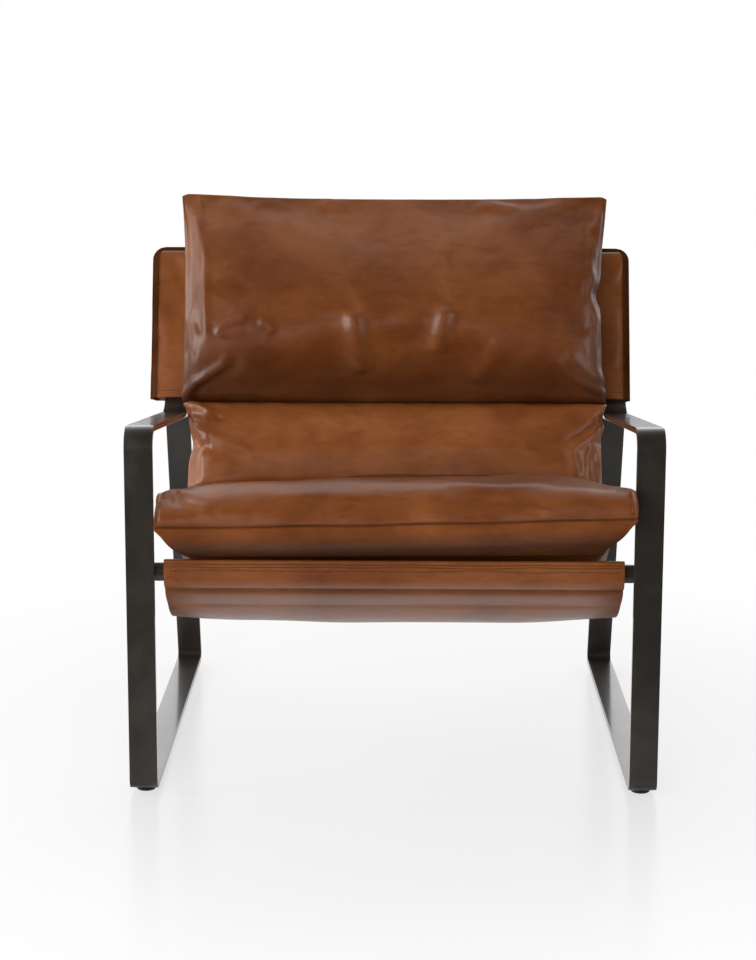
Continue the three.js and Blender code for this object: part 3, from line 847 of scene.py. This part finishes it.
LUMBAR_TUCK = np.array([-0.012, -0.022])
LUMBAR_BULGE_PLACE, LUMBAR_BULGE = 0.55, 0.012
LUMBAR_PINCH, LUMBAR_PINCH_ROW, LUMBAR_PINCH_REACH = 0.006, 445, 12
LUMBAR_FOLDS = {
    "left_ear": ([(182, 404), (198, 406), (211, 412), (204, 420), (190, 424)], 0.005, 3.5, 0.6),
    "left_pull": ([(190, 428), (205, 432), (228, 443), (254, 451)], 0.004, 5, 0.8),
    "left_nick": ([(194, 446), (200, 440), (210, 438)], 0.003, 3, 0.5),
    "right_groove": ([(603, 414), (584, 430), (562, 445)], -0.004, 2.0, 0.0),
    "right_gusset": ([(609, 420), (591, 436), (571, 450), (575, 466), (580, 480)], 0.006, 5, 0.0),
    "right_nick": ([(586, 452), (594, 446), (597, 462)], 0.003, 3, 0.5),
    "low_wave": ([(420, 452), (480, 446), (545, 452)], 0.002, 8, 0.5),
    "high_wave": ([(230, 412), (300, 418), (390, 412)], 0.0015, 7, 0.5),
}


def lumbar_rings():
    low_foot = rest_point(CREASE_SHARE)
    low_top = rest_point(CREASE_SHARE, CREASE_DEPTH) + LUMBAR_TUCK
    high_foot, high_top = rest_point(CHANNEL_SHARE), rest_point(CHANNEL_SHARE, CHANNEL_DEPTH)
    bulge = lerp(low_top, high_top, LUMBAR_BULGE_PLACE) + OUT_BACK * LUMBAR_BULGE
    shares = np.linspace(CREASE_SHARE, CHANNEL_SHARE, 8)[1:-1]
    pairs = PAIRS // 3
    half = drawn_in(HALF_LUMBAR, HALF_LUMBAR_TOP, 0.011, pairs)
    return cushion_rings(
        spline([low_foot, *[rest_point(s) for s in shares], high_foot], pairs),
        spline([low_top, bulge, high_top], pairs),
        rest_half=half,
        shown_half=half,
        edges=(0.45, 0.40),
        power=8,
        sewn_ends=(False, False),
        round_passes=2,
    )


def settle_lumbar(lumbar):
    """The left side is pinched in half-way up."""
    points = places(lumbar)
    rows = photo_place(points)[:, 1]
    side = smooth((-points[:, 0] - HALF_LUMBAR + 0.030) / 0.03)
    points[:, 0] += LUMBAR_PINCH * hill(rows - LUMBAR_PINCH_ROW, LUMBAR_PINCH_REACH) * side
    set_places(lumbar, points)
    return np.zeros(len(points))


# Head section: its front is given from chin to shoulder, down from the top and out of the back

HEAD_HEIGHT = 0.320
HEAD_SEAM_OUT = 0.050
HEAD_FRONT = [(0.297, 0.098), (0.257, 0.126), (0.200, 0.131), (0.130, 0.114), (0.054, 0.086)]
# Painted shade: the head a little darker all over, and more on the underside of its belly, which faces down
BELLY_SHADE, HEAD_SHADE = 0.50, 0.15
EAR_LEFT, EAR_RIGHT, EAR_ROUND = 0.008, 0.005, 0.003
HEAD_LEFT_FLARE, HEAD_RIGHT_FLARE = 0.004, -0.0015
HEAD_WAIST, HEAD_RIGHT_DRAW = 0.002, 0.0085
HEAD_PINCH, HEAD_PINCH_ROW, HEAD_PINCH_REACH = 0.008, 296, 11
HEAD_FOLDS = {
    "left_chin": ([(180, 402), (195, 383), (212, 372), (224, 364), (226, 352)], 0.006, 4.5, 0.8),
    "left_cheek": ([(216, 335), (221, 327), (232, 322), (250, 318)], 0.0045, 4, 0.5),
    "left_cheek_end": ([(258, 321), (268, 325), (274, 334)], 0.0040, 5, 0.3),
    "right_chin": ([(609, 399), (594, 388), (575, 378), (556, 358)], 0.006, 4.5, -0.8),
    "left_side": ([(190, 200), (200, 226), (206, 260), (205, 300), (207, 345)], 0.004, 4.5, 0.5),
    "right_side": ([(600, 206), (596, 240), (590, 270), (597, 292)], 0.004, 4.5, -0.5),
    "middle_ridge": ([(352, 308), (357, 345), (361, 376)], 0.0095, 9, 0.4),
    "next_ridge": ([(447, 305), (441, 330), (433, 355)], 0.0080, 8, 0.4),
    "right_cheek": ([(500, 338), (492, 360), (470, 382)], 0.0050, 9, 0.4),
    "top_left": ([(250, 206), (268, 203), (290, 208)], 0.0025, 4, 0.5),
    "top_middle": ([(315, 206), (330, 203), (350, 207)], 0.0020, 4, 0.5),
    "top_right": ([(470, 209), (492, 206), (520, 209)], 0.0025, 4, 0.5),
}


def head_rings():
    foot, front = rest_point(CHANNEL_SHARE), rest_point(CHANNEL_SHARE, CHANNEL_DEPTH)
    top_height = (front - BACK_CORNER) @ UP_BACK + HEAD_HEIGHT
    seam_top = back_point(top_height, HEAD_SEAM_OUT)
    half_seam = OUT_BACK * SEAM_GAP / 2
    rest = [
        foot,
        back_point(HEM_HEIGHT + 0.005),
        back_point(0.260),
        back_point(top_height - 0.050, 0.0125),
        seam_top - half_seam,
    ]
    shown = [front, *[back_point(top_height - down, out) for down, out in HEAD_FRONT], seam_top + half_seam]
    half = drawn_in(HALF_HEAD - 0.004, HALF_HEAD, 0.008, PAIRS)
    return cushion_rings(
        spline(rest, PAIRS),
        spline(shown, PAIRS),
        rest_half=half,
        shown_half=half,
        edges=(0.40, 0.30),
        power=9,
        sewn_ends=(False, True),
        round_passes=1,
    )


def settle_head(head):
    """Upper corners stand up as rounded ears, and the right side is pinched."""
    points = places(head)
    rows = photo_place(points)[:, 1]
    x, y, z = points.T
    across = x / HALF_HEAD
    rise = np.where(across < 0, EAR_LEFT, EAR_RIGHT) * np.abs(across) ** 2.5
    rise -= EAR_ROUND * np.clip((np.abs(across) - 0.97) / 0.03, 0, 2) ** 2
    top = smooth((z - 0.66) / 0.11)
    y += UP_BACK[0] * rise * top
    z += UP_BACK[1] * rise * top
    right = HEAD_RIGHT_FLARE * top - HEAD_RIGHT_DRAW * (1 - top) * smooth((z - 0.46) / 0.04)
    flare = np.where(across < 0, HEAD_LEFT_FLARE * top, right)
    x += across**3 * (flare - HEAD_WAIST * hill(z - 0.58, 0.06))
    side = smooth((across - 0.90) / 0.10)
    x -= HEAD_PINCH * hill(rows - HEAD_PINCH_ROW, HEAD_PINCH_REACH) * side
    set_places(head, points)
    # Returned darkening is painted shade: a little all over and more below the belly
    return HEAD_SHADE + BELLY_SHADE * smooth((0.580 - z) / 0.09)


seat_piece = make_cushion("seat", seat_rings, SEAT_FOLDS, 0.006, 0.25, settle_seat, CUSHION_LEATHER, 0.16)
make_cushion("lumbar", lumbar_rings, LUMBAR_FOLDS, 0.007, 0.4, settle_lumbar, LUMBAR_LEATHER)
make_cushion("head", head_rings, HEAD_FOLDS, 0.007, 0.4, settle_head, CUSHION_LEATHER)
dull_panel(seat_piece)


# Sling: one sheet of leather, looped round the front bar and hung back to the hood

SLEEVE_TOP = BAR_YZ[1] + 0.018
SLEEVE_FACE_Y = BAR_YZ[0] - SLEEVE_MIDDLE
SLEEVE_END, SLEEVE_UNDER = (-0.004, -0.0152), (0.0095, -0.0125)
SLEEVE_SHOULDER, SLEEVE_CROWN = (0.0095, 0.0125), (-0.002, 0.0162)
SLEEVE_FACE_END = BAR_YZ[1] - 0.004
SLEEVE_ROLL = [(0.0004, -0.0040), (0.0034, -0.0094), (0.0095, -0.0155)]
CLOSING_SEAM = np.array([SLEEVE_FACE_Y + 0.0140, BAR_YZ[1] - 0.0222])
UNDER_SEAM = CLOSING_SEAM + np.array([0.0002, -0.0055])
HUNG_FROM = 0.10
SHEET_WAVE, SHEET_WAVE_SIZE, SHEET_WAVE_SEED = 0.0012, 0.13, 5
EDGE_WAVE_SIZE, EDGE_WAVE_SEED = 0.09, 8
LAYER_STEP = 0.0010
LAYER_DROPS = (0.0035, 0.0070)
LAYER_WAVE, LAYER_EDGE = 0.0004, 0.0008
# Dark layer edges, and a dark crease at the closing seam that is partly the seam and partly painted shade
LAYER_WEAR, SEAM_WEAR_AND_SHADE = 0.55, 0.4
STITCH_DROP, STITCH_WAVE, STITCH_ROW_INSET = 0.0125, 0.0008, 0.008
STITCH_PITCH, STITCH_LENGTH, STITCH_RADIUS = 0.0050, 0.0034, 0.0006
STITCH_SIDES = 6
STITCH_RINGS = ((-0.5, 0.35), (-0.3, 1.0), (0.3, 1.0), (0.5, 0.35))


def slab(name, grid, thickness, raised):
    """A sheet of leather of the given thickness on a grid of middle points; raised lifts its first side."""
    rows, columns, _ = grid.shape
    normal = np.cross(np.gradient(grid, axis=0), np.gradient(grid, axis=1))
    normal /= np.linalg.norm(normal, axis=2, keepdims=True)
    first = grid + normal * (thickness / 2 + raised)[..., None]
    second = grid - normal * thickness / 2
    points = np.concatenate([first.reshape(-1, 3), second.reshape(-1, 3)])
    back = rows * columns
    faces = []
    for r in range(rows - 1):
        for c in range(columns - 1):
            a, b = r * columns + c, (r + 1) * columns + c
            faces.append((a, b, b + 1, a + 1))
            faces.append((back + a, back + a + 1, back + b + 1, back + b))
    rim = [(r * columns, (r + 1) * columns) for r in range(rows - 1)]
    rim += [(r * columns + columns - 1, (r + 1) * columns + columns - 1) for r in range(rows - 1)]
    rim += [(c, c + 1) for c in range(columns - 1)]
    rim += [((rows - 1) * columns + c, (rows - 1) * columns + c + 1) for c in range(columns - 1)]
    faces += [(a, b, back + b, back + a) for a, b in rim]
    return make_mesh(name, points, faces)


def sew(name, rows):
    """Rows of thread stitches laid on the leather, each a short six-sided capsule."""
    points, faces = [], []
    sides = range(STITCH_SIDES)
    turn = np.arange(STITCH_SIDES) * 2 * math.pi / STITCH_SIDES
    for row in rows:
        count = max(2, int(run_length(row) / STITCH_PITCH))
        spots = resample(row, count)
        for start, end in zip(spots, spots[1:]):
            along = (end - start) / np.linalg.norm(end - start)
            beside = np.cross(along, np.array([0, 0.34, 0.94]))
            beside /= np.linalg.norm(beside)
            third = np.cross(along, beside)
            ring = (np.cos(turn)[:, None] * beside + np.sin(turn)[:, None] * third) * STITCH_RADIUS
            middle = (start + end) / 2
            first = len(points)
            for reach, size in STITCH_RINGS:
                points.extend(middle + along * STITCH_LENGTH * reach + ring * size)
            for level in range(len(STITCH_RINGS) - 1):
                low = first + STITCH_SIDES * level
                high = low + STITCH_SIDES
                for i in sides:
                    j = (i + 1) % STITCH_SIDES
                    faces.append((low + i, low + j, high + j, high + i))
            faces.append([first + STITCH_SIDES - 1 - i for i in sides])
            faces.append([high + i for i in sides])
    thread = make_mesh(name, points, faces)
    return finish_piece(thread, "frame", THREAD)


def sleeve_path():
    """Middle line of the sleeve in the side view, from its end below the bar and round it to its seam."""
    shoulder = BAR_YZ + np.array(SLEEVE_SHOULDER)
    behind = [BAR_YZ + np.array(step) for step in (SLEEVE_END, SLEEVE_UNDER, (SLEEVE_MIDDLE, 0))]
    up = spline([*behind, shoulder], 24)
    peak = np.array([SLEEVE_FACE_Y + 0.0012, SLEEVE_TOP])
    over = spline([shoulder, BAR_YZ + np.array(SLEEVE_CROWN), peak], 14)
    face = np.column_stack([np.full(60, SLEEVE_FACE_Y), np.linspace(SLEEVE_TOP, SLEEVE_FACE_END, 60)])
    roll = [np.array([SLEEVE_FACE_Y + back, SLEEVE_FACE_END + rise]) for back, rise in SLEEVE_ROLL]
    down = spline([face[-2], face[-1], *roll, CLOSING_SEAM], 36)
    return np.vstack([up, over[1:], face[1:], down[2:]]), len(up) + len(over) - 2


def sleeve_stitches(x, edge_wave):
    """One row along the sleeve's top, and a short one down each end."""
    face_out = SLEEVE_FACE_Y - LEATHER / 2 - LAYER_STEP * len(LAYER_DROPS)
    row_x = np.linspace(STITCH_ROW_INSET - SLING_HALF_WIDTH, SLING_HALF_WIDTH - STITCH_ROW_INSET, 200)
    row_z = SLEEVE_TOP - STITCH_DROP + STITCH_WAVE * np.interp(row_x, x, edge_wave)
    rows = [np.column_stack([row_x, np.full(200, face_out), row_z])]
    for end in (row_x[0], row_x[-1]):
        drops = np.linspace(STITCH_DROP + 0.004, 0.026, 20)
        rows.append(np.column_stack([np.full(20, end), np.full(20, face_out), SLEEVE_TOP - drops]))
    return rows


def make_sling():
    sleeve, peak_row = sleeve_path()
    shares = np.linspace(HUNG_FROM, 1, 110)
    hung = sling_point(shares)
    leaving = spline([sleeve[-2], sleeve[-1], UNDER_SEAM, hung[0], hung[1]], 24)
    leaving = leaving[(leaving[:, 1] < sleeve[-1, 1] - 0.0004) & (leaving[:, 1] > hung[0, 1] + 0.0010)]
    path = np.vstack([sleeve, leaving, hung])
    share = np.concatenate([np.zeros(len(path) - len(shares)), shares])
    across = columns_across(97, 0.92)
    x = across * SLING_HALF_WIDTH
    grid = np.empty((len(path), len(across), 3))
    grid[..., 0] = x[None, :]
    grid[..., 1] = path[:, None, 0]
    grid[..., 2] = path[:, None, 1] + sag(share[:, None], across[None, :])
    flat = grid.reshape(-1, 3)
    wave = ripple(flat * np.array([1, 0.6, 0.6]), SHEET_WAVE_SIZE, SHEET_WAVE_SEED).reshape(len(path), -1)
    grid[..., 2] += SHEET_WAVE * wave * smooth(share / 0.08)[:, None]
    edge_wave = ripple(np.column_stack([x, x * 0, x * 0]), EDGE_WAVE_SIZE, EDGE_WAVE_SEED)
    drop = SLEEVE_TOP - path[:, 1]
    on_face = np.arange(len(path)) >= peak_row
    raised = np.zeros(grid.shape[:2])
    darkened = np.zeros(grid.shape[:2])
    for i, layer_drop in enumerate(LAYER_DROPS):
        below = drop[:, None] - layer_drop - LAYER_WAVE * edge_wave[None, :] * (1 + i)
        raised += LAYER_STEP * np.clip(below / LAYER_EDGE, 0, 1) * on_face[:, None]
        darkened = np.maximum(darkened, LAYER_WEAR * hill(below, 0.0005) * on_face[:, None])
    fade = smooth((drop - 0.030) / 0.010) * on_face
    raised *= (1 - fade)[:, None]
    valley = len(sleeve) - np.arange(len(path))
    # Painted shade in the crease along the closing seam, under the sleeve's roll, together with the seam's
    # own dark line
    darkened = np.maximum(darkened, SEAM_WEAR_AND_SHADE * hill(valley, 3)[:, None])
    sling = slab("sling_sheet", grid, LEATHER, raised)
    finish_piece(sling, "frame", SLING_LEATHER, ["seat_sling"])
    wear_and_shade(sling, np.concatenate([darkened.ravel(), np.zeros(darkened.size)]))
    sew("sleeve_stitches", sleeve_stitches(x, edge_wave))


make_sling()


# Hood: a two-layer pocket over the uprights and the top rail, sewn along its sides and top

HOOD_SHIFT = -0.008
HOOD_HALF_WIDTH = HOOD_HIGH.x + 0.002
HOOD_FLARE = -0.001
RAIL_HEIGHT = (RAIL_YZ - BACK_CORNER) @ UP_BACK
HOOD_TOP = RAIL_HEIGHT + 0.0205
HOOD_CORNER = 0.021
HOOD_HOLLOW = 0.0035
HOOD_LEAN = 0.22
SIDE_EDGE, TOP_EDGE, EDGE_FADE = 0.0150, 0.010, 0.004
FLANGE = 0.0015
FLANGE_RISE = 0.007
PINCHED = LEATHER / 2 + 0.0003
STITCH_INSET, HEM_STITCH = 0.0125, 0.011
HOOD_FOLDS = {
    "left_top": ([(173, 255), (181, 272), (187, 292)], -0.0030, 7, 0.0),
    "left_side": ([(162, 300), (168, 340), (164, 380)], 0.0015, 7, 0.4),
    "right_top": ([(621, 258), (613, 284)], 0.0030, 4, 0.5),
    "right_side": ([(614, 300), (616, 340), (613, 378)], 0.0020, 5, 0.6),
}


def hood_depth(height, from_side):
    """Half the distance between the two layers' middles."""
    round_rail = np.sqrt(np.clip(SLEEVE_MIDDLE**2 - np.maximum(height - RAIL_HEIGHT, 0) ** 2, 0, None))
    open_side = smooth((from_side - FLANGE) / FLANGE_RISE)
    below_rail = smooth((RAIL_HEIGHT - 0.015 - height) / 0.02)
    lean = HOOD_LEAN * (1 - smooth((from_side - 0.008) / 0.035)) * below_rail
    return np.maximum(PINCHED, PINCHED + (round_rail - PINCHED) * open_side * (1 - lean))


def hood_half(height):
    over = np.clip(height - (HOOD_TOP - HOOD_CORNER), 0, HOOD_CORNER)
    flare = HOOD_FLARE * (1 - height / HOOD_TOP)
    return HOOD_HALF_WIDTH + flare - HOOD_CORNER + np.sqrt(HOOD_CORNER**2 - over**2 + 1e-9)


def hood_hollow(height, from_side):
    """How far the leather dips between the uprights and the rail."""
    share = np.clip((height - HEM_HEIGHT) / (RAIL_HEIGHT - HEM_HEIGHT), 0, 1)
    return HOOD_HOLLOW * smooth((from_side - 0.05) / 0.10) * np.sin(math.pi * share)


def on_hood(x, height, face):
    """Points on the hood's outside, front face 1 and back face -1."""
    from_side = hood_half(height) - np.abs(x)
    out = face * (hood_depth(height, from_side) + LEATHER / 2 - hood_hollow(height, from_side))
    place = BACK_CORNER + np.outer(height, UP_BACK) + np.outer(out, OUT_BACK)
    return np.column_stack([x + HOOD_SHIFT, place])


def hood_stitch_rows(face):
    """Up one side, over the top and down the other, and along the hem."""
    heights = np.linspace(HEM_HEIGHT + 0.004, HOOD_TOP - HOOD_CORNER, 50)
    turn = np.linspace(0, math.pi / 2, 9)[1:]
    bend = HOOD_CORNER - STITCH_INSET
    corner_x = HOOD_HALF_WIDTH - HOOD_CORNER + bend * np.cos(turn)
    side_x = np.concatenate([hood_half(heights) - STITCH_INSET, corner_x])
    side_height = np.concatenate([heights, HOOD_TOP - HOOD_CORNER + bend * np.sin(turn)])
    x = np.concatenate([-side_x, np.linspace(-side_x[-1], side_x[-1], 80)[1:-1], side_x[::-1]])
    height = np.concatenate([side_height, np.full(78, side_height[-1]), side_height[::-1]])
    hem_x = np.linspace(-side_x[0], side_x[0], 120)
    return [on_hood(x, height, face), on_hood(hem_x, np.full(120, HEM_HEIGHT + HEM_STITCH), face)]


def hood_faces(rows, columns):
    """Faces of the outer and inner shell, each a front and a back layer closed at the sides."""
    second = rows * columns
    faces = []

    def at(shell, row, column):
        return shell * second + row * columns + column

    for shell in (0, 1):
        for r in range(rows - 1):
            for c in range(columns - 1):
                a, b = at(shell, r, c), at(shell, r + 1, c)
                faces.append([a, b, b + 1, a + 1])
        for c in (0, columns - 1):
            for r in range(rows // 2 - 1):
                mirror = rows - 1 - r
                faces.append([at(shell, row, c) for row in (r, r + 1, mirror - 1, mirror)])
    for r in (0, rows - 1):
        for c in range(columns - 1):
            faces.append([at(0, r, c), at(0, r, c + 1), at(1, r, c + 1), at(1, r, c)])
    for c in (0, columns - 1):
        faces.append([at(0, 0, c), at(0, rows - 1, c), at(1, rows - 1, c), at(1, 0, c)])
    return faces


def make_hood():
    lower = np.linspace(HEM_HEIGHT + 0.0003, RAIL_HEIGHT, 54)
    upper = np.linspace(RAIL_HEIGHT, HOOD_TOP, 16)[1:]
    heights = np.concatenate([lower, upper])
    across = columns_across(121, 0.94)
    half = hood_half(heights)
    x = across[None, :] * half[:, None]
    from_side = half[:, None] - np.abs(x)
    depth = hood_depth(heights[:, None], from_side)
    hollow = hood_hollow(heights[:, None], from_side)

    def layer(outside, face):
        points = np.empty((*x.shape, 3))
        shrink = 1.0 if outside else (half - FLANGE)[:, None] / half[:, None]
        offset = LEATHER / 2 if outside else -LEATHER / 2
        out = face * (depth + offset - hollow)
        top = heights if outside else np.minimum(heights, HOOD_TOP - FLANGE * 0.7)
        points[..., 0] = x * shrink + HOOD_SHIFT
        points[..., 1:] = BACK_CORNER + UP_BACK * top[:, None, None] + OUT_BACK * out[..., None]
        return points

    shells = [np.concatenate([layer(outside, 1), layer(outside, -1)[::-1]]) for outside in (True, False)]
    points = np.concatenate([s.reshape(-1, 3) for s in shells])
    hood = make_mesh("hood_leather", points, hood_faces(*shells[0].shape[:2]))
    finish_piece(hood, "frame", SLING_LEATHER, ["back_hood"])
    edge = smooth((SIDE_EDGE - from_side) / EDGE_FADE)
    edge = np.maximum(edge, smooth((heights - HOOD_TOP + TOP_EDGE) / EDGE_FADE)[:, None])
    both = np.concatenate([edge, edge[::-1]]).ravel()
    darkened = np.concatenate([both, both])
    wear_and_shade(hood, np.zeros(len(darkened)))
    hood.data.materials.append(EDGE_LEATHER)
    for polygon in hood.data.polygons:
        polygon.material_index = int(darkened[list(polygon.vertices)].min() > 0.5)
    add_folds(hood, HOOD_FOLDS)
    sew("hood_stitches", hood_stitch_rows(1) + hood_stitch_rows(-1))


make_hood()


# Stage: pale floor, white surroundings and soft lamps. A pair is a value with its result.

ROOM_LEAN = -0.3
ROOM_FRONT, ROOM_BACK = (-0.25, 0.02), (0.75, 1.0)
ROOM_LOW, ROOM_HIGH = (0.50, 1.5), (0.95, 0.35)
FLOOR_REACH = 14.0
FLOOR_COLOR, FLOOR_ROUGHNESS, FLOOR_SHINE = (0.62, 0.62, 0.62, 1), 0.22, 0.5
GLOW_AHEAD, GLOW_UNDER = (-0.64, 0.06), (-0.36, 1.0)
GLOW_BETWEEN_LEGS, GLOW_AT_LEGS = (0.30, 1.0), (0.335, 0.2)
SHADOW_NEAR, SHADOW_FAR = (0.5, 0.66), (1.2, 1.0)
OPAQUE_WHITE = (1, 1, 1, 1)


def world_light():
    """White to the camera; to the chair, white behind it and dark on the side that it faces."""
    world = bpy.data.worlds.new("studio")
    world.use_nodes = True
    bpy.context.scene.world = world
    world.node_tree.nodes.clear()
    output = add_node(world, "ShaderNodeOutputWorld")
    x, y, z = split_axes(world, add_node(world, "ShaderNodeTexCoord").outputs["Generated"])
    behind = calculate(world, "MULTIPLY_ADD", x, ROOM_LEAN, y)
    fade = map_range(world, behind, ROOM_FRONT, ROOM_BACK, "SMOOTHSTEP")
    ceiling = map_range(world, z, ROOM_LOW, ROOM_HIGH)
    room = add_node(world, "ShaderNodeBackground", Color=OPAQUE_WHITE)
    link(world, calculate(world, "MULTIPLY", fade, ceiling), room.inputs["Strength"])
    white = add_node(world, "ShaderNodeBackground", Color=OPAQUE_WHITE, Strength=1.0)
    rays = add_node(world, "ShaderNodeLightPath").outputs
    mix_shaders(world, rays["Is Camera Ray"], room, white, output)


def studio_floor():
    """Pale floor that keeps the shadow near the chair and runs out to white further off."""
    size = FLOOR_REACH
    corners = [(-size, -size, 0), (size, -size, 0), (size, size, 0), (-size, size, 0)]
    floor = make_mesh("studio_floor", corners, [(0, 1, 2, 3)])
    material = bpy.data.materials.new("floor_white")
    material.use_nodes = True
    material.node_tree.nodes.clear()
    output = add_node(material, "ShaderNodeOutputMaterial")
    surface = add_node(material, "ShaderNodeBsdfPrincipled", Roughness=FLOOR_ROUGHNESS)
    surface.inputs["Base Color"].default_value = FLOOR_COLOR
    surface.inputs["Specular IOR Level"].default_value = FLOOR_SHINE
    place = position(material)
    x, y, _ = split_axes(material, place)
    rays = add_node(material, "ShaderNodeLightPath").outputs
    # The floor glows though it is no lamp: white to the camera, and in reflections dark ahead of the chair
    # and along the legs' lanes
    front = map_range(material, y, GLOW_AHEAD, GLOW_UNDER)
    lane = map_range(material, calculate(material, "ABSOLUTE", x), GLOW_BETWEEN_LEGS, GLOW_AT_LEGS)
    level = add_node(material, "ShaderNodeMix", data_type="FLOAT")
    link(material, rays["Is Glossy Ray"], level.inputs[0])
    level.inputs[2].default_value = 1.0
    link(material, calculate(material, "MULTIPLY", front, lane), level.inputs[3])
    glow = add_node(material, "ShaderNodeEmission", Color=OPAQUE_WHITE)
    link(material, level.outputs[0], glow.inputs["Strength"])
    reach = add_node(material, "ShaderNodeVectorMath", operation="LENGTH")
    link(material, place, reach.inputs[0])
    far = map_range(material, reach.outputs["Value"], SHADOW_NEAR, SHADOW_FAR, "SMOOTHSTEP")
    seen = calculate(material, "MAXIMUM", rays["Is Camera Ray"], rays["Is Glossy Ray"])
    mix_shaders(material, calculate(material, "MULTIPLY", far, seen), surface, glow, output)
    floor.data.materials.append(material)


def softbox(name, place, width, height, power, mirrored):
    """A lamp that faces the chair's middle; mirrored says whether gloss shows it."""
    lamp = bpy.data.lights.new(name, "AREA")
    lamp.shape = "RECTANGLE"
    lamp.size = width
    lamp.size_y = height
    lamp.energy = power
    holder = bpy.data.objects.new(name, lamp)
    holder.location = place
    aim = Vector((0, 0, 0.45)) - Vector(place)
    holder.rotation_euler = aim.to_track_quat("-Z", "Y").to_euler()
    holder.visible_glossy = mirrored
    bpy.context.scene.collection.objects.link(holder)


photo_camera()
world_light()
studio_floor()
softbox("front", (-0.8, -3.1, 1.0), width=2.4, height=1.4, power=92, mirrored=False)
softbox("key", (-2.5, -0.8, 0.95), width=1.0, height=2.2, power=42, mirrored=True)
softbox("fill", (2.4, -1.0, 1.0), width=1.0, height=2.0, power=14, mirrored=True)
softbox("top", (0, 0.6, 2.8), width=2.4, height=2.0, power=36, mirrored=False)
bpy.context.scene.view_settings.view_transform = "Standard"
